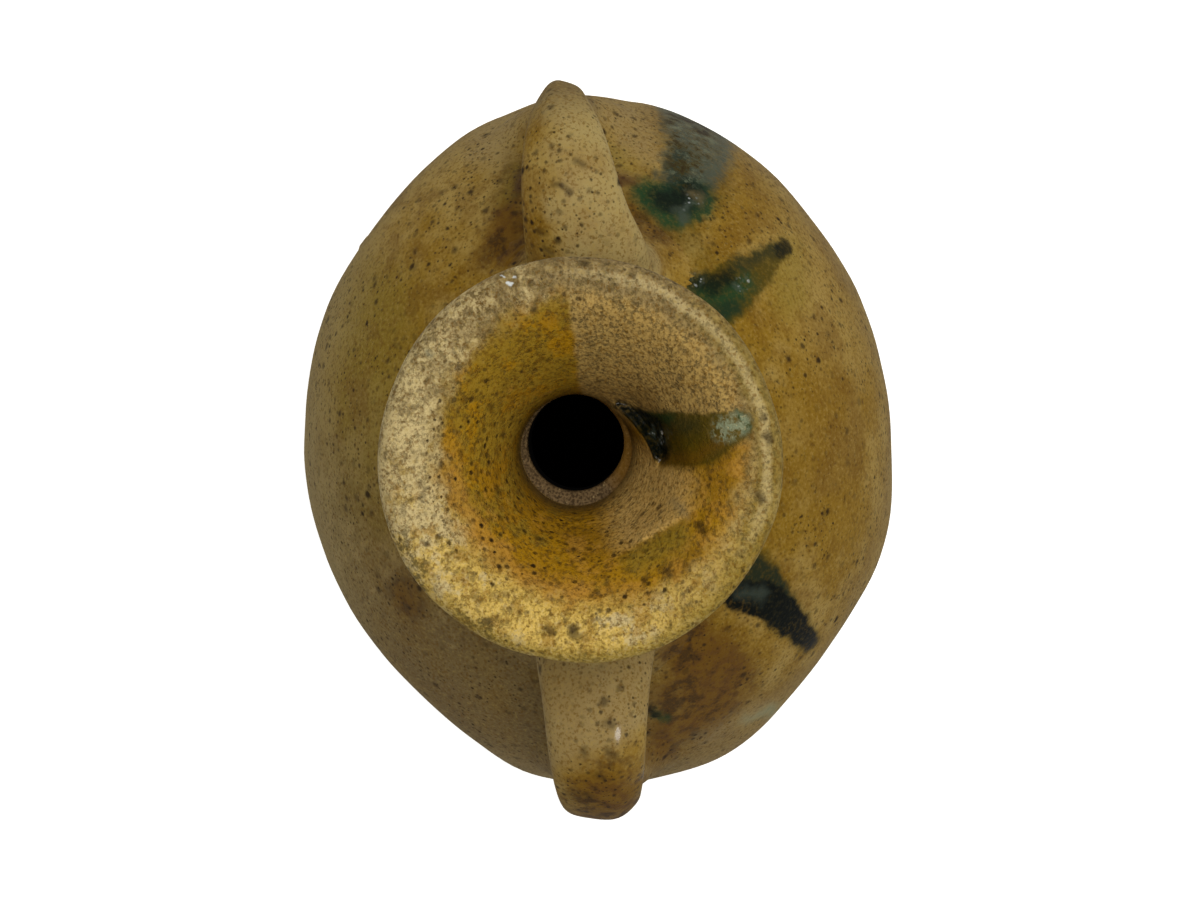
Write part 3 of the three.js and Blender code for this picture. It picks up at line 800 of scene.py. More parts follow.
# %% Funnel glaze
glaze = Finish("worn_glaze")
wide, middle = glaze.cloud(20, 1), glaze.cloud(6, 2, 4.0)
fine, grain = glaze.cloud(2.2, 3, 3.0, 0.6), glaze.cloud(0.9, 4, 3.0, 0.7)
stain, bloom = glaze.cloud(9, 7, 5.0, 0.7), glaze.cloud(7, 8, 5.0, 0.7)
glaze.ground(glaze.mix(glaze.smooth(wide, 0.4, 0.6), TOFFEE, HONEY), 0.45, 0.1)
glaze.lay(glaze.smooth(stain + 0.12 * glaze.toward(50), 0.5, 0.6) * 0.6, MOSS)
glaze.lay(glaze.smooth(bloom + 0.06 * glaze.toward(-130), 0.54, 0.64) * 0.35, ROSE)
glaze.lay(glaze.smooth(fine, 0.5, 0.64) * 0.55, SIENNA)
lines = glaze.math("SINE", glaze.z * 3.6 + 5 * middle)
inside = glaze.smooth(glaze.radius - 0.12 * (glaze.z - 250), 25, 23)
# Painted shade: the funnel is darkened towards the throat, in bands along the throwing lines, which also dent
# the glaze.
throat_shade = glaze.smooth(glaze.z, 274, 252) * inside
glaze.lay(throat_shade * (0.45 + 0.45 * glaze.smooth(lines, 0.0, 1.0)), SIENNA, rise=-0.2)
# Painted shade: darker still just above the hole.
glaze.lay(glaze.smooth(glaze.z, 265, 250) * inside * 0.65, UMBER)
print("throwing lines in the throat")

# %% Bare patches in the funnel
ragged = glaze.plan(glaze.shaken(5, 1.6, 33))
far_side = glaze.smooth(glaze.y + 3 * (middle - 0.5), 0.6, -1.0)
far_patch = far_side * glaze.smooth(glaze.x - 0.2 * glaze.y + 6 * middle, 11, 16)
past = past_smear(glaze) + 2.0 * (fine - 0.5)
near_patch = glaze.daub(ragged, 5.0, SMEAR_PATCH) * glaze.smooth(past, 0.6, -0.6)
pool = glaze.daub(ragged, 3.0, YELLOW_POOL) * glaze.smooth(past, -0.4, 0.4)
glaze.lay(pool * 0.75, MOSS, rough=0.35, gloss=0.2)
# Painted shade: the yellow pool is darker just past the smear's edge, below the edge.
glaze.lay(pool * glaze.smooth(past, 2.5, 0.0) * 0.5, SIENNA)
gritty = glaze.smooth(0.3 * fine + grain, 0.5, 0.85)
glaze.lay(far_patch * 0.85, glaze.mix(gritty, SAND, MUD), rough=0.7, gloss=0.0)
glaze.lay(near_patch * (0.5 + 0.7 * fine), glaze.mix(gritty, BISCUIT, SAND), rough=0.7, gloss=0.0)
print("two patches without gloss")

# %% Worn lip
left, near = glaze.toward(90), glaze.toward(180)
right_side = glaze.smooth(glaze.toward(-95), 0.2, 0.8)
around = glaze.vector("SUBTRACT", glaze.plan(glaze.place), WEAR_CENTRE)
worn_in = glaze.vector("LENGTH", around) + 10 * (middle - 0.5)
# Painted highlight: a pale rose band where the lip turns down into the funnel, on the near and left sides.
edge_highlight = glaze.smooth(abs(worn_in - 35.5), 4.5, 1.0) * glaze.smooth(left + near, 0.5, 1.2)
glaze.lay(edge_highlight * 0.5, ROSE, rough=0.6)
lip = glaze.smooth(worn_in, 34.5, 41) * glaze.smooth(glaze.z, 268, 280)
worn = glaze.mix(glaze.smooth(near + 5 * (stain - 0.5), 0.2, 0.8), BUFF, STRAW)
worn = glaze.mix(right_side * 0.7, worn, OCHRE)
grey_side = glaze.smooth(glaze.toward(-35) + 4 * (bloom - 0.5), -0.1, 0.7)
worn = glaze.mix(grey_side * 0.9, worn, glaze.mix(glaze.smooth(fine, 0.25, 0.55), DUN, MUD))
soiled = glaze.smooth(stain + 0.3 * (fine - 0.5) - 0.05 * near, 0.5, 0.6)
worn = glaze.mix(soiled * 0.6, worn, MUD)
rosy = glaze.smooth(bloom, 0.52, 0.6) * glaze.smooth(near, -0.2, 0.5)
worn = glaze.mix(rosy * 0.6, worn, ROSE)
glaze.lay(lip * 0.9, worn, rough=0.75, gloss=0.0)
print("the lip is worn")

# %% The lip's edge and the outside
# Painted shade: the lip's outer edge is darkened on the left side.
shaded_lip_edge = glaze.smooth(glaze.radius + 10 * (stain - 0.5), 42.5, 46.5)
glaze.lay(shaded_lip_edge * glaze.smooth(left, 0.0, 0.7) * 0.2, MUD)
olive_edge = glaze.smooth(glaze.radius + 8 * (bloom - 0.5), 41, 45)
glaze.lay(olive_edge * glaze.smooth(glaze.toward(-95), 0.4, 0.9) * 0.55, MOSS)
ridge = glaze.smooth(abs(glaze.radius + 3 * (middle - 0.5) - 45.5), 1.9, 0.4)
glaze.lay(ridge * glaze.smooth(glaze.toward(-60), 0.3, 0.8) * 0.5, BUFF)
glaze.lay(glaze.smooth(glaze.radius, 44, 48.5) * glaze.smooth(near, 0.4, 0.9) * 0.6, MOSS)
facing = glaze.parts(glaze.node("ShaderNodeNewGeometry")["Normal"])[2]
outer = glaze.smooth(facing, 0.05, -0.15)
outer = glaze.math("MAXIMUM", outer, (1 - inside) * glaze.smooth(glaze.z, 268, 260))
amber = glaze.mix(glaze.smooth(wide + middle, 0.85, 1.15), AMBER, OCHRE)
below_lip = glaze.smooth(glaze.z + 12 * (stain - 0.5), 285, 273)
glaze.lay(outer * below_lip * 0.9, amber, rough=0.5, gloss=0.06)
print("the funnel's outside is amber")

# %% Grain, pits and stains
glaze.lay(lip * glaze.smooth(bloom, 0.48, 0.58) * glaze.smooth(near, -0.1, 0.5) * 0.4, MOSS)
mottle = grain + 0.5 * (fine - 0.5)
glaze.lay(glaze.smooth(mottle, 0.46, 0.76) * (0.5 + 0.1 * lip), ASH, rise=-0.3)
pale_grain = lip * (1 - 0.7 * grey_side) * (1 - 0.7 * right_side)
glaze.lay(glaze.smooth(mottle, 0.52, 0.26) * (0.05 + 0.35 * pale_grain), BUFF)
# Painted reflection: the pale buff run on one side of the lip stands for the light it mirrors.
glaze.lay(glaze.daub(ragged, 4, LIP_HIGHLIGHT) * glaze.smooth(fine + grain, 1.05, 0.85) * 0.6, BUFF)
speckle(glaze, 0.7, 0.25 + 0.75 * lip)
pitted = glaze.smooth(glaze.y - glaze.x, -15, 20) * glaze.smooth(glaze.radius, 43, 37)
glaze.lay(glaze.specks(2.0, 0.85, 0.85, 24, 0.6) * pitted, UMBER, rise=-0.25)
for points in LIP_PATCHES:
    glaze.lay(glaze.daub(ragged, 3.0, points) * glaze.smooth(fine + grain, 0.9, 1.1) * 0.6, ASH)
for x, y, size in LIP_STAINS:
    glaze.lay(glaze.daub(ragged, 0.8, [(x, y, size), (x + 1, y + 0.6, size)]) * 0.7, UMBER)
for x, y, size in CHIPS:
    glaze.lay(glaze.daub(ragged, 0.3, [(x, y, size), (x + 0.3, y + 0.5, size)]) * 0.9, FROST)
glaze.lay(glaze.daub(ragged, 1.0, GREY_SPOT) * 0.6, SLATE)
print(len(LIP_STAINS), "stains and", len(CHIPS), "chips on the lip")

# %% Streak of copper
kept = (glaze.colour, glaze.rough, glaze.gloss)
flowing = glaze.plan(glaze.shaken(2.5, 0.5, 35))
copper(glaze, flowing, STREAK_LAYERS, 60)
pale = glaze.daub(flowing, 1.4, PALE_END)
glaze.lay(pale * glaze.smooth(fine + 0.5 * grain, 0.6, 0.85) * 0.9, SEA_GREY)
glaze.lay(pale * glaze.smooth(grain, 0.55, 0.7) * 0.5, BUFF)
glinting_beds(glaze, flowing, STREAK_GLINTS, 62)
glaze.lay(glaze.daub(ragged, 1.6, SMEAR_STAIN) * 0.4, SLATE)
glazed = behind_crest(glaze) * (1 - outer)
glaze.colour = glaze.mix(glazed, kept[0], glaze.colour)
glaze.rough = kept[1] + glazed * (glaze.rough - kept[1])
glaze.gloss = kept[2] + glazed * (glaze.gloss - kept[2])
worn_glaze = glaze.fire()

# %% [markdown]
# Bare clay shows on the base and on the ledge round the throat: rough, pinkish and gritty, with
# painted shade on one side of the ledge. The throat ring's outside is glazed like the wall. No light
# gets down to the inside, so it is painted black as shade. The slip in the seams lies under the
# glaze, so the seams take the amber glaze.

# %% Clay
clay = Finish("bare_clay")
grain, middle = clay.cloud(0.7, 1, 3.0), clay.cloud(6, 2)
clay.ground(clay.mix(clay.smooth(grain, 0.35, 0.65), GRIME, ROSE_CLAY), 0.85, 0.0)
clay.lay(clay.smooth(middle, 0.45, 0.7) * 0.4, GRIME)
clay.lay(grain, rise=0.4)
clay.lay(clay.specks(0.9, 0.25, 0.4, 25) * 0.5, BUFF)
# Painted shade: the ledge and the thumbed ramp on it are darker on one side of the hole.
clay.lay(clay.smooth(clay.y - 0.6 * clay.x + 8 * (middle - 0.5), 2, -6) * 0.7, SIENNA)
low_down = clay.smooth(clay.z, 40, 30)
clay.lay(low_down, clay.mix(grain, CLAY, DUN))
ring_face = clay.smooth(clay.radius, 21, 23) * clay.smooth(clay.z, 225, 232)
clay.lay(ring_face, clay.mix(clay.smooth(middle, 0.4, 0.6), AMBER, OCHRE), rough=0.5)
clay.lay(ring_face * clay.specks(1.6, 0.7, 0.8, 26), UMBER)
on_base = low_down * clay.smooth(clay.radius, 42, 38)
in_hole = clay.math("MAXIMUM", clay.smooth(clay.radius, 22, 20), on_base)
# Painted shade: the inside of the hole and the base's top are painted black.
clay.lay(clay.smooth(clay.z, 246.5, 244) * in_hole * clay.smooth(clay.z, 6, 8.5), SHADE_BLACK)
bare_clay = clay.fire()

# %% [markdown]
# ## The wheel
# Every thrown piece is made by one rule: spin the profile, press the ring oval, and dent the wall.
# A Screw modifier could spin the profile, but it can't press it oval or dent it, so a Geometry
# Nodes tree does all three. It lays a grid round the profile: along the grid's other side, each
# point looks up its place on the profile by number.

# %% Geometry trees
def geometry_tree(name, inputs):
    """A new tree with named inputs. Returns its bench, its input wires and the inputs' keys."""
    tree = bpy.data.node_groups.new(name, "GeometryNodeTree")
    tree.interface.new_socket("Geometry", in_out="INPUT", socket_type="NodeSocketGeometry")
    tree.interface.new_socket("Geometry", in_out="OUTPUT", socket_type="NodeSocketGeometry")
    keys = {}
    for label, kind in inputs.items():
        socket = tree.interface.new_socket(label, in_out="INPUT", socket_type="NodeSocket" + kind)
        keys[label] = socket.identifier
    bench = Bench(tree)
    return bench, bench.node("NodeGroupInput"), keys


def finish_tree(bench, mesh, material):
    """Closes the seams and poles, shades the skin smooth and gives it its material."""
    merged = bench.node("GeometryNodeMergeByDistance", sockets={"Geometry": mesh, "Distance": 2e-6})
    smooth = bench.node("GeometryNodeSetShadeSmooth", sockets={"Geometry": merged["Geometry"]})
    real = bench.node("GeometryNodeRealizeInstances", sockets={"Geometry": smooth["Geometry"]})
    sockets = {"Geometry": real["Geometry"], "Material": material}
    painted = bench.node("GeometryNodeSetMaterial", sockets=sockets)
    bench.node("NodeGroupOutput", sockets={"Geometry": painted["Geometry"]})


def run_tree(obj, bench, keys, values):
    """Runs a tree on an object and keeps the result as a plain mesh."""
    modifier = obj.modifiers.new(bench.tree.name, "NODES")
    modifier.node_group = bench.tree
    for label, value in values.items():
        modifier[keys[label]] = value
    depsgraph = bpy.context.evaluated_depsgraph_get()
    mesh = bpy.data.meshes.new_from_object(obj.evaluated_get(depsgraph))
    obj.modifiers.clear()
    obj.data = mesh
    mesh.name = obj.name
    mesh.set_sharp_from_angle(angle=math.radians(50))
    print(obj.name, len(mesh.vertices), "points")
    return obj


def line_object(name, points, numbers, vectors=None):
    """Points with named attributes, as the start of a piece."""
    mesh = bpy.data.meshes.new(name)
    mesh.from_pydata([tuple(p) for p in points], [], [])
    for label, values in numbers.items():
        mesh.attributes.new(label, "FLOAT", "POINT").data.foreach_set("value", np.array(values, np.float32))
    for label, values in (vectors or {}).items():
        flat = np.array(values, np.float32).ravel()
        mesh.attributes.new(label, "FLOAT_VECTOR", "POINT").data.foreach_set("vector", flat)
    obj = bpy.data.objects.new(name, mesh)
    bpy.context.scene.collection.objects.link(obj)
    return obj


def looked_up(bench, line, name, kind, number):
    """A field that reads a line's named attribute, or its position, at a point's number."""
    if name == "position":
        value = bench.node("GeometryNodeInputPosition")["Position"]
    else:
        named = {"data_type": kind}
        value = bench.node("GeometryNodeInputNamedAttribute", named, {"Name": name})["Attribute"]
    settings = {"data_type": kind, "domain": "POINT"}
    sockets = {"Geometry": line, "Value": value, "Index": number}
    return bench.node("GeometryNodeSampleIndex", settings, sockets)["Value"]


def ring_grid(bench, line, steps):
    """A grid with one row of points round for each point of a line. Returns it, the angle round
    and the number on the line."""
    size = bench.node("GeometryNodeAttributeDomainSize", {"component": "MESH"}, {"Geometry": line})
    count = size["Point Count"]
    sides = {"Vertices X": steps + 1, "Vertices Y": count}
    grid = bench.node("GeometryNodeMeshGrid", sockets=sides)["Mesh"]
    number = bench.node("GeometryNodeInputIndex")["Index"]
    around = bench.math("FLOOR", (number + 0.5) / count)
    return grid, around * (2 * math.pi) / steps, number - around * count


def drawn(bench, share, power):
    """One coordinate of a superellipse from a cosine or sine."""
    return bench.math("SIGN", share) * abs(share) ** (2 / power)


# %% [markdown]
# No wall is true after paddling and drying. The unevenness is one field over the whole jug that
# presses the wall towards the jug's axis by a millimetre or so. All pieces read the same field, so
# they still meet at their seams. Broad dents and bulges sit where the photograph shows them.

# %% Uneven walls
UNEVEN_DEPTH = 3.5 * MM
UNEVEN_FROM = 0.4  # part of the noise that leaves the wall as it is
UNEVEN_SIZE = 60 * MM
# Where, how wide and how deep, in millimetres. A negative depth is a bulge or a lump of grit.
DENTS = [
    ((5, 95, 131), 60, 1.5),
    ((12, -95, 131), 50, 1.3),
    ((74, 60, 131), 38, 2.4),
    ((-75, 62, 131), 40, 2.4),
    ((45, 67, 175), 30, 1.0),
    ((-93, -32, 132), 34, -3.5),
    ((-40, -86, 131), 34, -2.2),
    ((-47, 72, 135), 26, 1.3),
    ((88, 40, 136), 26, 0.9),
    ((-98, 24, 131), 26, -2.4),
    ((68, 70, 131), 6, -1.8),
    ((107, -15, 131), 20, 0.6),
    ((110, -9, 138), 16, 1.4),
    ((106, 19, 131), 22, 1.2),
    ((108, 15, 138), 14, 0.8),
]
# The roots of the handles, which keep their place because the strap is bedded there.
ROOTS = [((50, 0, 210), 40), ((100, 1, 163), 28), ((-50, 1, 210), 40), ((-100, 3, 163), 40)]


def uneven(bench, place):
    """A point's place after drying: pressed in towards the axis, or out, by the shared field."""
    x, y, z = bench.parts(place)
    radius = bench.math("SQRT", x * x + y * y)
    away = bench.vector("DIVIDE", bench.joined(x, y, 0.0), bench.joined(radius + MM, radius + MM, 1.0))
    sockets = {"Vector": place, "Scale": 1 / UNEVEN_SIZE, "Detail": 2.0, "Roughness": 0.5}
    noise = bench.node("ShaderNodeTexNoise", sockets=sockets)[0]
    depth = bench.math("MAXIMUM", noise - UNEVEN_FROM, 0.0) * UNEVEN_DEPTH
    for centre, size, dent in DENTS:
        gap = bench.vector("DISTANCE", place, Vector(centre) * MM)
        depth = depth + bench.smooth(gap, size * MM, 0.0) * (dent * MM)
    for centre, size in ROOTS:
        gap = bench.vector("DISTANCE", place, Vector(centre) * MM)
        depth = depth * bench.smooth(gap, size * MM / 2, size * MM)
    return bench.vector("SUBTRACT", place, bench.scaled(away, depth))


# %% [markdown]
# The tree reads three things for each point of a profile: its place, how much narrower its ring is
# than it is long, and how far it moves over with the hole. A ring is a superellipse. Its power is
# 2, a true ellipse, where the ring is round, and falls to the belly's power where it is most oval.

# %% The wheel's tree
wheel, given, wheel_keys = geometry_tree(
    "thrown_piece",
    {
        "Steps Round": "Int",
        "Belly Shortfall": "Float",
        "Plan Power": "Float",
        "Hole Shift": "Vector",
        "Material": "Material",
    },
)
line = given["Geometry"]
grid, angle, number = ring_grid(wheel, line, given["Steps Round"])
radius, _, level = wheel.parts(looked_up(wheel, line, "position", "FLOAT_VECTOR", number))
short = looked_up(wheel, line, "short", "FLOAT", number)
shifted = looked_up(wheel, line, "shifted", "FLOAT", number)
power = 2 - (2 - given["Plan Power"]) * short / given["Belly Shortfall"]
along = radius * drawn(wheel, wheel.math("COSINE", angle), power)
across = (radius - short) * drawn(wheel, wheel.math("SINE", angle), power)
place = wheel.joined(along, across, level)
place = wheel.vector("ADD", place, wheel.scaled(given["Hole Shift"], shifted))
sockets = {"Geometry": grid, "Position": uneven(wheel, place)}
spun = wheel.node("GeometryNodeSetPosition", sockets=sockets)["Geometry"]
finish_tree(wheel, spun, given["Material"])
print("the wheel's tree has", len(wheel.tree.nodes), "nodes")


# %% Throwing a piece
def throw(name, points, material, shifted=None, shift=(0, 0, 0), steps=192):
    """Spins a profile of radius and level into a piece. Each point moves by its share of a shift."""
    none = np.zeros(len(points))
    places = np.stack([points[:, 0], none, points[:, 1]], axis=1)
    numbers = {
        "short": [shortfall(level, radius) for radius, level in points],
        "shifted": none if shifted is None else shifted,
    }
    obj = line_object(name, places, numbers)
    values = {
        "Steps Round": steps,
        "Belly Shortfall": HALF_LENGTH - HALF_WIDTH,
        "Plan Power": PLAN_POWER,
        "Hole Shift": shift,
        "Material": material,
    }
    return run_tree(obj, wheel, wheel_keys, values)


def hand_in(piece, slot, *nodes):
    """Hangs a finished piece under the root and hides the nodes that it stands for. The slot, the finish it
    would take, is not used.
    """
    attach(piece, "root")
    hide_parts(*nodes)


# %% [markdown]
# ## The body
# The belly was thrown as a bottomless ring and set on a slab; the shoulder was thrown apart and
# closed in to a collar. Slip fills the seams. Each is spun from its own stretch of the outline.

# %% Slab, walls and their seams
BASE_BEVEL = 2 * MM
base_low, base_high = levels("base_slab")
slab_face = body_outline(base_low + BASE_BEVEL, base_high)
slab = np.vstack(
    [
        curve_points([(0, base_low), (slab_face[0, 0] - BASE_BEVEL, base_low)], 6 * MM),
        slab_face,
        curve_points([(slab_face[-1, 0], base_high), (0, base_high)], 6 * MM)[1:],
    ]
)
hand_in(throw("oval_base", slab, bare_clay), "bare_clay", "base_slab")

lower_face = curve_points(body_outline(*levels("lower_body")))
hand_in(throw("belly_wall", wall_profile(lower_face), amber_glaze), "amber_glaze", "lower_body")

upper_low, upper_high = levels("upper_body")
shoulder_line = body_outline(upper_low, SHOULDER_LEVEL)
upper_face = curve_points(np.vstack([shoulder_line, collar_outline(upper_high)[1:]]))
hand_in(throw("shoulder_wall", wall_profile(upper_face), amber_glaze), "amber_glaze", "upper_body")


def seam_ring(name, node, outer, inner, shift=(0, 0, 0)):
    """A thin ring of slip between two pieces, flush with their faces. Its hole may lie aside."""
    low, high = levels(node)
    loop = [(outer[0], low), (outer[1], high), (inner[1], high), (inner[0], low), (outer[0], low)]
    ring = throw(name, np.array(loop), amber_glaze, shifted=[0, 0, 1, 1, 0], shift=shift)
    hand_in(ring, "luting_slip", node)


foot = slab_face[-1, 0]
seam_ring("foot_seam", "base_slip", (foot, lower_face[0, 0]), (foot - WALL, foot - WALL))
belly = (lower_face[-1, 0], upper_face[0, 0])
seam_ring("belly_seam", "belly_slip", belly, (belly[0] - WALL, belly[1] - WALL))
collar = (COLLAR_RADIUS, COLLAR_RADIUS)
seam_ring("collar_seam", "collar_slip", collar, (COLLAR_RADIUS - WALL, COLLAR_RADIUS - WALL))

# %% [markdown]
# ## The throat
# The neck is a ring of clay with a hole that was opened by hand, off the middle. Seen from above,
# its top is the rough ledge round the black hole. On one side the ledge was pushed up into a
# ramp that ends in a sharp crest, and the glaze ran down and pooled behind it.

# %% Throat ring
NECK_WAIST = 25.2 * MM
MOUTH_FOOT = 26 * MM
LEDGE_RADIUS = 14.9 * MM
HOLE_RADIUS = 13 * MM
HOLE_SHIFT = (HOLE[0] * MM, HOLE[1] * MM, 0)
FOOT_SHIFT = (1.3 * MM, 2.3 * MM, 0)  # of the funnel's lower end
HOLE_ROUNDING = 1.2 * MM
neck_low, neck_high = levels("neck")
waist = (2 * NECK_WAIST - (COLLAR_RADIUS + MOUTH_FOOT) / 2, (neck_low + neck_high) / 2)
neck_face = bezier((COLLAR_RADIUS, neck_low), waist, (MOUTH_FOOT, neck_high))
ledge_edge = arc((HOLE_RADIUS + HOLE_ROUNDING, neck_high - HOLE_ROUNDING), HOLE_ROUNDING, 90, 180, 6)
neck_loop = np.vstack(
    [
        curve_points(neck_face, MM),
        curve_points([(MOUTH_FOOT, neck_high), ledge_edge[0]], 0.35 * MM)[1:],
        ledge_edge[1:],
        curve_points([ledge_edge[-1], (HOLE_RADIUS, neck_low)], MM)[1:],
        curve_points([(HOLE_RADIUS, neck_low), (COLLAR_RADIUS, neck_low)], 3 * MM)[1:],
    ]
)
toward_hole = np.clip((MOUTH_FOOT - neck_loop[:, 0]) / (MOUTH_FOOT - LEDGE_RADIUS), 0, 1)
throat = throw("throat_ring", neck_loop, bare_clay, shifted=toward_hole, shift=HOLE_SHIFT, steps=256)
hand_in(throat, "bare_clay", "neck")

# %% [markdown]
# ## The mouth
# The funnel is a trumpet with a soft wide lip. Its lower end leans over to the hole.

# %% Funnel mouth
LIP_RADIUS = 4.5 * MM
LIP_WIDTH = 11 * MM
LIP_DIP = 1.2 * MM
LIP_TURN = 6 * MM
LIP_THICKNESS = 9 * MM
FLARE_START = 0.45  # share of the funnel's height that stays near upright
LEAN_END = 0.5  # share of its height in which the funnel leans over to the hole
rim_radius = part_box("mouth_funnel")[1].x
mouth_low, mouth_high = levels("mouth_funnel")
mouth_height = mouth_high - mouth_low
flare = mouth_low + FLARE_START * mouth_height
lip_centre = (rim_radius - LIP_RADIUS, mouth_high - LIP_RADIUS)
lip_round = arc(lip_centre, LIP_RADIUS, -60, 90, 18)
under = lip_round[0]
inner_lip = np.array((rim_radius - LIP_WIDTH, mouth_high - LIP_DIP))
lip_slope = LIP_DIP / (lip_centre[0] - inner_lip[0])
lip_foot = under - (LIP_WIDTH, LIP_THICKNESS)
outer_curve = bezier((MOUTH_FOOT, mouth_low), (MOUTH_FOOT, flare), lip_foot, under)
turned_lip = inner_lip - (LIP_TURN, lip_slope * LIP_TURN)
funnel_curve = bezier(inner_lip, turned_lip, (LEDGE_RADIUS, flare), (LEDGE_RADIUS, mouth_low))
outside = np.vstack(
    [
        curve_points(outer_curve, 1.2 * MM),
        curve_points(lip_round, 0.7 * MM)[1:],
        curve_points([lip_round[-1], inner_lip], 0.8 * MM)[1:],
    ]
)
inside = curve_points(funnel_curve, 0.5 * MM)[1:]
foot_ring = curve_points([(LEDGE_RADIUS, mouth_low), (MOUTH_FOOT, mouth_low)], 2 * MM)[1:]
lean = np.clip((inside[:, 1] - mouth_low) / (LEAN_END * mouth_height), 0, 1)
lean = 1 - lean * lean * (3 - 2 * lean)
foot_lean = np.linspace(1, 0, len(foot_ring) + 1)[1:]
leaning = np.concatenate([np.zeros(len(outside)), lean, foot_lean])
mouth_loop = np.vstack([outside, inside, foot_ring])
mouth = throw("funnel_mouth", mouth_loop, worn_glaze, shifted=leaning, shift=FOOT_SHIFT, steps=288)
hand_in(mouth, "worn_glaze", "mouth_funnel")
ledge_ring = (LEDGE_RADIUS, LEDGE_RADIUS)
seam_ring("throat_seam", "throat_slip", (MOUTH_FOOT, MOUTH_FOOT), ledge_ring, FOOT_SHIFT)

# %% [markdown]
# A thumb pushed the wet ledge up on one side of the hole, so that it rises to a sharp crest which
# runs out from the hole up the funnel's wall. Behind the crest the wall was scraped hollow, and
# glaze pooled there. A smear of clay further round ends in a second edge. The lip is uneven from
# drying and use. These are single marks, so they are pressed into the finished meshes by formula.

# %% Marks in the throat and the mouth
CREST_RISE = 1.3
TROUGH_DEPTH = 2.0
TROUGH_WIDTH = 9.0
SMEAR_RISE = 1.3
MARK_INWARD, MARK_UP = 0.55, 0.85  # shares of a mark's rise towards the hole and upwards
CHIPPED = (44, 14)


def soft_step(value, start, end):
    share = np.clip((value - start) / (end - start), 0, 1)
    return share * share * (3 - 2 * share)


def thumb_marks(places):
    """Rise of the surface at places in millimetres, towards the throat's axis and up."""
    from_hole = places[:, :2] - np.array(HOLE_SHIFT[:2]) / MM
    radius = np.hypot(*from_hole.T)
    clock = np.degrees(np.arctan2(-from_hole[:, 1], from_hole[:, 0]))
    degrees, radii = zip(*CREST_LINE)
    past_crest = radius - np.interp(clock, degrees, radii)
    on_crest = soft_step(clock, 40, 60) * soft_step(clock, 110, 98)
    ramp = soft_step(past_crest, -4.0, -0.2) * soft_step(past_crest, 0.5, 0.0)
    trough = soft_step(past_crest, 0.0, 0.6) * soft_step(past_crest, TROUGH_WIDTH, 1.5)
    rise = on_crest * (CREST_RISE * ramp - TROUGH_DEPTH * trough)
    start, end = np.array(SMEAR_START), np.array(SMEAR_END)
    along = (end - start) / np.linalg.norm(end - start)
    length = (places[:, :2] - start) @ along
    past = (places[:, :2] - start) @ np.array((along[1], -along[0]))
    smear = soft_step(past, -7.0, 0.0) * soft_step(past, 1.2, 0.0)
    return rise + SMEAR_RISE * smear * soft_step(length, -3, 3) * soft_step(length, 19, 12)


def lip_wear(places):
    """How far the lip has sunk at places in millimetres."""
    turn = np.arctan2(places[:, 1], places[:, 0])
    waves = 0.5 * np.cos(3 * turn + 1) + 0.35 * np.cos(5 * turn + 2.2) + 0.2 * np.cos(11 * turn)
    chip = soft_step(np.hypot(places[:, 0] - CHIPPED[0], places[:, 1] - CHIPPED[1]), 3, 1)
    return (1.05 + waves) * 0.55 * soft_step(places[:, 2], 280, 294) + 0.4 * chip


def press_marks(piece):
    """Moves the points of a finished mesh by the thumb's marks and the lip's wear."""
    flat = np.empty(3 * len(piece.data.vertices), np.float32)
    piece.data.vertices.foreach_get("co", flat)
    places = flat.reshape(-1, 3).astype(float) / MM
    from_hole = places[:, :2] - np.array(HOLE_SHIFT[:2]) / MM
    inward = -from_hole / np.maximum(np.hypot(*from_hole.T), 1)[:, None]
    inner_side = soft_step(places[:, 2], 246, 247.5) * soft_step(np.hypot(*places[:, :2].T), 36, 30)
    outer_wall = np.interp(places[:, 2], outer_curve[:, 1] / MM, outer_curve[:, 0] / MM)
    inner_side *= soft_step(outer_wall - np.hypot(*places[:, :2].T), 0.5, 3.5)
    rise = thumb_marks(places) * inner_side
    places[:, :2] += inward * (MARK_INWARD * rise)[:, None]
    places[:, 2] += MARK_UP * rise - lip_wear(places)
    piece.data.vertices.foreach_set("co", (places * MM).astype(np.float32).ravel())
    piece.data.update()


for piece in (throat, mouth, bpy.data.objects["throat_seam"]):
    press_marks(piece)
print("marks pressed into the mouth and the throat")

# %% [markdown]
# ## The handles
# Each handle is a strap of clay that was pulled by hand, bent over and pressed on the shoulder
# with its ends thumbed out. A curve with a round bevel would be as thick everywhere and would
# meet the wall at a hard edge. So a second tree sweeps an oval along a path, and pushes each
# point that comes near the wall sideways along it, which leaves a hollow fillet round the root.

# %% The strap's tree
GROOVES_FADE = 4 * MM  # half a strap's depth, below which its grooves fade out
strap, given, strap_keys = geometry_tree(
    "pulled_strap",
    {
        "Wall": "Object",
        "Steps Round": "Int",
        "Section Power": "Float",
        "Sink": "Float",
        "Groove Depth": "Float",
        "Grooves": "Float",
        "Material": "Material",
    },
)
line = given["Geometry"]
grid, angle, number = ring_grid(strap, line, given["Steps Round"])
centre = looked_up(strap, line, "position", "FLOAT_VECTOR", number)
across = looked_up(strap, line, "across", "FLOAT_VECTOR", number)
outward = looked_up(strap, line, "outward", "FLOAT_VECTOR", number)
half_width = looked_up(strap, line, "half_width", "FLOAT", number)
half_depth = looked_up(strap, line, "half_depth", "FLOAT", number)
groove = (strap.math("COSINE", angle * given["Grooves"]) - 1) * given["Groove Depth"] / 2
side = strap.scaled(across, drawn(strap, strap.math("COSINE", angle), given["Section Power"]) * half_width)
face = strap.scaled(outward, drawn(strap, strap.math("SINE", angle), given["Section Power"]) * half_depth)
ring = strap.vector("ADD", side, face)
away = strap.vector("NORMALIZE", ring)
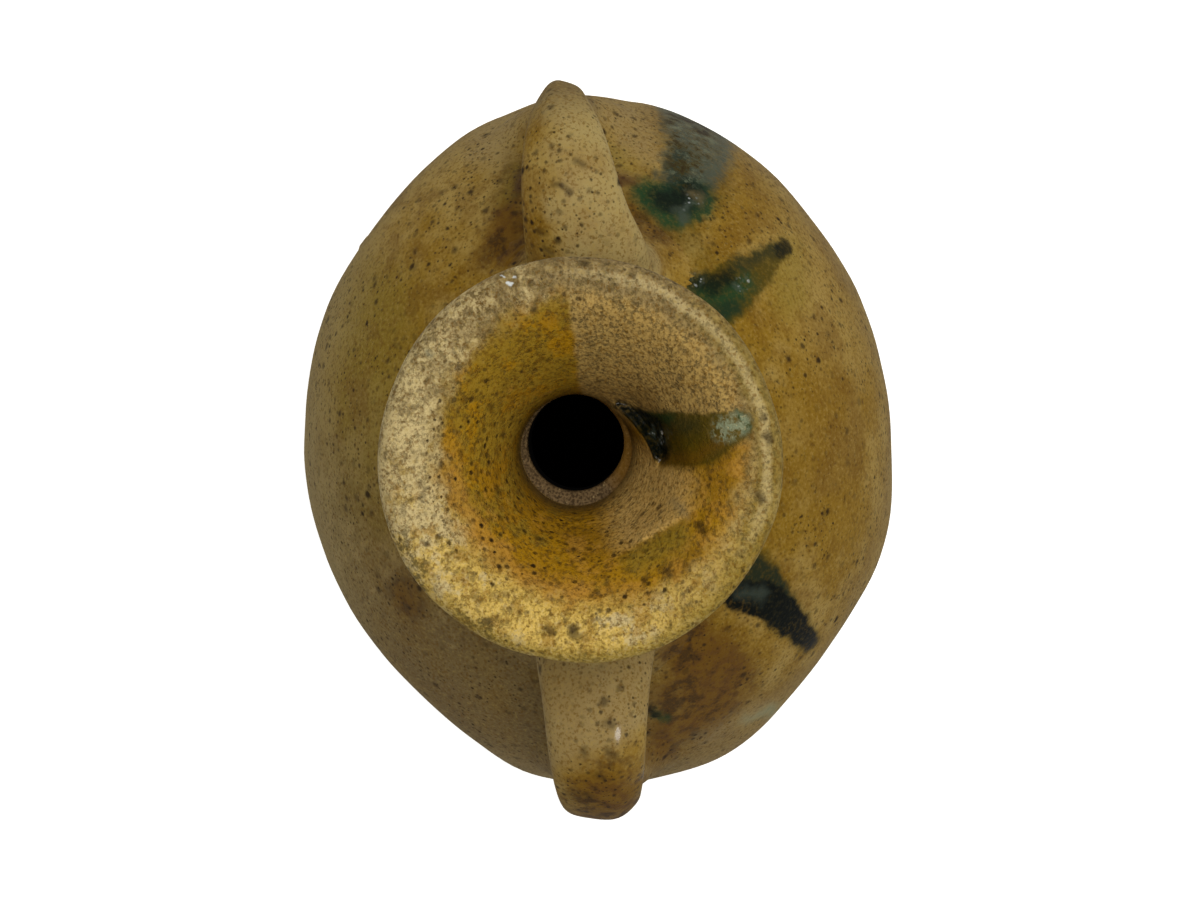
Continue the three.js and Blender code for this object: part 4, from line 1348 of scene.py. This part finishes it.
filled = strap.math("MINIMUM", half_depth / GROOVES_FADE, 1.0)
place = strap.vector("ADD", centre, strap.vector("ADD", ring, strap.scaled(away, groove * filled)))
place = uneven(strap, place)
wall = strap.node("GeometryNodeObjectInfo", sockets={"Object": given["Wall"]})["Geometry"]
wall_normal = strap.node("GeometryNodeInputNormal")["Normal"]


def over_wall(place):
    """Height of a point over the wall, and the wall's normal there."""
    near = strap.node(
        "GeometryNodeProximity", {"target_element": "FACES"}, {"Geometry": wall, "Sample Position": place}
    )["Position"]
    settings = {"data_type": "FLOAT_VECTOR"}
    sockets = {"Mesh": wall, "Value": wall_normal, "Sample Position": place}
    normal = strap.node("GeometryNodeSampleNearestSurface", settings, sockets)["Value"]
    return strap.vector("DOT_PRODUCT", strap.vector("SUBTRACT", place, near), normal), normal


height, normal = over_wall(place)
fillet = looked_up(strap, line, "fillet", "FLOAT", number)
short_of = fillet - strap.math("MINIMUM", strap.math("MAXIMUM", height, 0.0), fillet)
spread = fillet - strap.math("SQRT", strap.math("MAXIMUM", fillet * fillet - short_of * short_of, 0.0))
flat = strap.vector("SUBTRACT", away, strap.scaled(normal, strap.vector("DOT_PRODUCT", away, normal)))
pushed = strap.vector("ADD", place, strap.scaled(flat, spread))
new_height, new_normal = over_wall(pushed)
wanted = strap.math("MAXIMUM", height, 0 - given["Sink"])
seated = strap.smooth(spread / fillet, 0.0, 0.2)
place = strap.vector("ADD", pushed, strap.scaled(new_normal, (wanted - new_height) * seated))
sockets = {"Geometry": grid, "Position": place}
swept = strap.node("GeometryNodeSetPosition", sockets=sockets)["Geometry"]
finish_tree(strap, swept, given["Material"])
print("the strap's tree has", len(strap.tree.nodes), "nodes")

# %% [markdown]
# A strap's path starts under the shoulder's skin, rises to a crest, turns down and lands on the
# belly. The strap narrows on the way and is thumbed out at its roots. The two straps differ as
# hand-made ones do: the far one is narrow at its outer end, flares there, and lies a bit to one side.

# %% Handle paths
HANDLE_SPRING = 50 * MM
HANDLE_RISE = 22 * MM
HANDLE_CREST = 22 * MM
HANDLE_LANDING = 33 * MM
HANDLE_LEG = 34 * MM
ROOT_DEPTH = 14 * MM
FLARE_LENGTHS = np.array((25, 11)) * MM  # at the inner and the outer root
FLARE_POWERS = np.array((4, 2))  # a higher power starts the flare more suddenly
FLARE_DEPTHS = np.array((0.2, 0.15))
FILLETS = (14 * MM, 12 * MM)
TAPER_START, TAPER_END = 0.3, 0.64  # shares of the strap's length
STRAP_STEPS = 72  # points round a strap
STRAP_SINK = 1.5 * MM  # how far a strap's skin goes under the wall's
GROOVE_DEPTH = 0.5 * MM
GROOVE_COUNT = 5.0


def handle_path(thickness, bulge):
    """The strap's middle line in its own plane: out, up, over and down to the belly."""
    spring = shoulder_level(HANDLE_SPRING)
    landing = BELLY_LEVEL + HANDLE_LANDING
    wall_reach = reach(landing, HALF_LENGTH, DOME_HEIGHT, BOWL_HEIGHT)
    outer = (wall_reach + bulge - thickness / 2, landing + HANDLE_LEG)
    crest = (HANDLE_SPRING + HANDLE_CREST, spring + HANDLE_RISE)
    angles = np.radians(np.linspace(180, 90, 40))
    rise = np.stack([crest[0] + HANDLE_CREST * np.cos(angles), spring + HANDLE_RISE * np.sin(angles)], axis=1)
    angles = np.radians(np.linspace(90, 0, 50))
    fall = np.stack(
        [
            crest[0] + (outer[0] - crest[0]) * np.cos(angles),
            outer[1] + (crest[1] - outer[1]) * np.sin(angles),
        ],
        axis=1,
    )
    leg = bezier(outer, (outer[0], landing), (wall_reach - ROOT_DEPTH / 2, landing - ROOT_DEPTH))
    path = np.vstack([[HANDLE_SPRING, spring - ROOT_DEPTH], rise, fall[1:], leg[1:]])
    roots = np.array([[HANDLE_SPRING, spring], [wall_reach, landing]])
    return curve_points(path, 0.8 * MM), roots


def pull_handle(name, turn, widths, thickness, bulge, flares, aside, section):
    """A strap that narrows from its first width to its second, with flares at its inner and its
    outer root; aside is how far its inner half and its inner root lie to one side."""
    path, roots = handle_path(thickness, bulge)
    turned = Matrix.Rotation(math.radians(turn), 3, "Z")
    along = np.gradient(path, axis=0)
    along /= np.linalg.norm(along, axis=1)[:, None]
    gaps = np.linalg.norm(path[:, None, :] - roots[None, :, :], axis=2)
    thumbed = np.exp(-((gaps / FLARE_LENGTHS) ** FLARE_POWERS))
    share = np.clip((np.linspace(0, 1, len(path)) - TAPER_START) / (TAPER_END - TAPER_START), 0, 1)
    taper = share * share * (3 - 2 * share)
    width = widths[0] + (widths[1] - widths[0]) * taper
    half_width = width / 2 * (1 + (thumbed * np.array(flares)).max(axis=1))
    half_depth = thickness / 2 * (1 + (thumbed * FLARE_DEPTHS).max(axis=1))
    for end in (0, -1):
        half_width[end] = half_depth[end] = 0
    sideways = aside[0] * (1 - taper) + aside[1] * thumbed[:, 0]
    places = [turned @ Vector((x, y, z)) for (x, z), y in zip(path, sideways)]
    across = [turned @ Vector((0, 1, 0)) for _ in path]
    outward = [turned @ Vector((-dz, 0, dx)) for dx, dz in along]
    fillet = np.linspace(*FILLETS, len(path))
    numbers = {"half_width": half_width, "half_depth": half_depth, "fillet": fillet}
    obj = line_object(name, places, numbers, {"across": across, "outward": outward})
    values = {
        "Wall": shoulder_skin,
        "Steps Round": STRAP_STEPS,
        "Section Power": section,
        "Sink": STRAP_SINK,
        "Groove Depth": GROOVE_DEPTH,
        "Grooves": GROOVE_COUNT,
        "Material": strap_glaze,
    }
    return run_tree(obj, strap, strap_keys, values)


shoulder_skin = throw("shoulder_skin", upper_face, amber_glaze)
right_handle = pull_handle(
    "right_strap",
    turn=0.8,
    widths=(27 * MM, 15 * MM),
    thickness=15.5 * MM,
    bulge=4.2 * MM,
    flares=(0.27, 1.0),
    aside=(-1.4 * MM, -3.1 * MM),
    section=1.8,
)
left_handle = pull_handle(
    "left_strap",
    turn=177.6,
    widths=(28.5 * MM, 23.5 * MM),
    thickness=16.5 * MM,
    bulge=6.8 * MM,
    flares=(0.2, 0.12),
    aside=(0, 0),
    section=2.2,
)
bpy.data.objects.remove(shoulder_skin)
hand_in(right_handle, "amber_glaze", "right_handle")
hand_in(left_handle, "amber_glaze", "left_handle")

# %% [markdown]
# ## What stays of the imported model
# The pads of slip lie under the straps' thumbed roots, and no more than an edge of them shows. The
# glaze ran over them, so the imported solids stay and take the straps' glaze.

# %% Pads of slip
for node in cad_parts:
    if "_handle_" in node:
        pad = bpy.data.objects[node]
        pad.data.materials.clear()
        pad.data.materials.append(strap_glaze)
        print(node, "takes the straps' glaze")

# %% [markdown]
# ## The floor
# The jug stands on a plain pale floor. Lit by the lamps alone it would turn grey away from the jug,
# and it would show in the wet glaze. So it glows a little by itself and is hidden from reflections.

# %% Floor
FLOOR_SIZE = 40
FLOOR_TONES = (paint(243, 243, 241), paint(247, 247, 246))
bpy.ops.mesh.primitive_plane_add(size=FLOOR_SIZE)
floor = bpy.context.object
floor.name = "floor"
backdrop = Finish("pale_floor")
backdrop.ground(backdrop.mix(backdrop.cloud(400, 1), *FLOOR_TONES), 0.9, 0.0)
backdrop.glow = backdrop.colour
floor.data.materials.append(backdrop.fire())
floor.visible_glossy = False
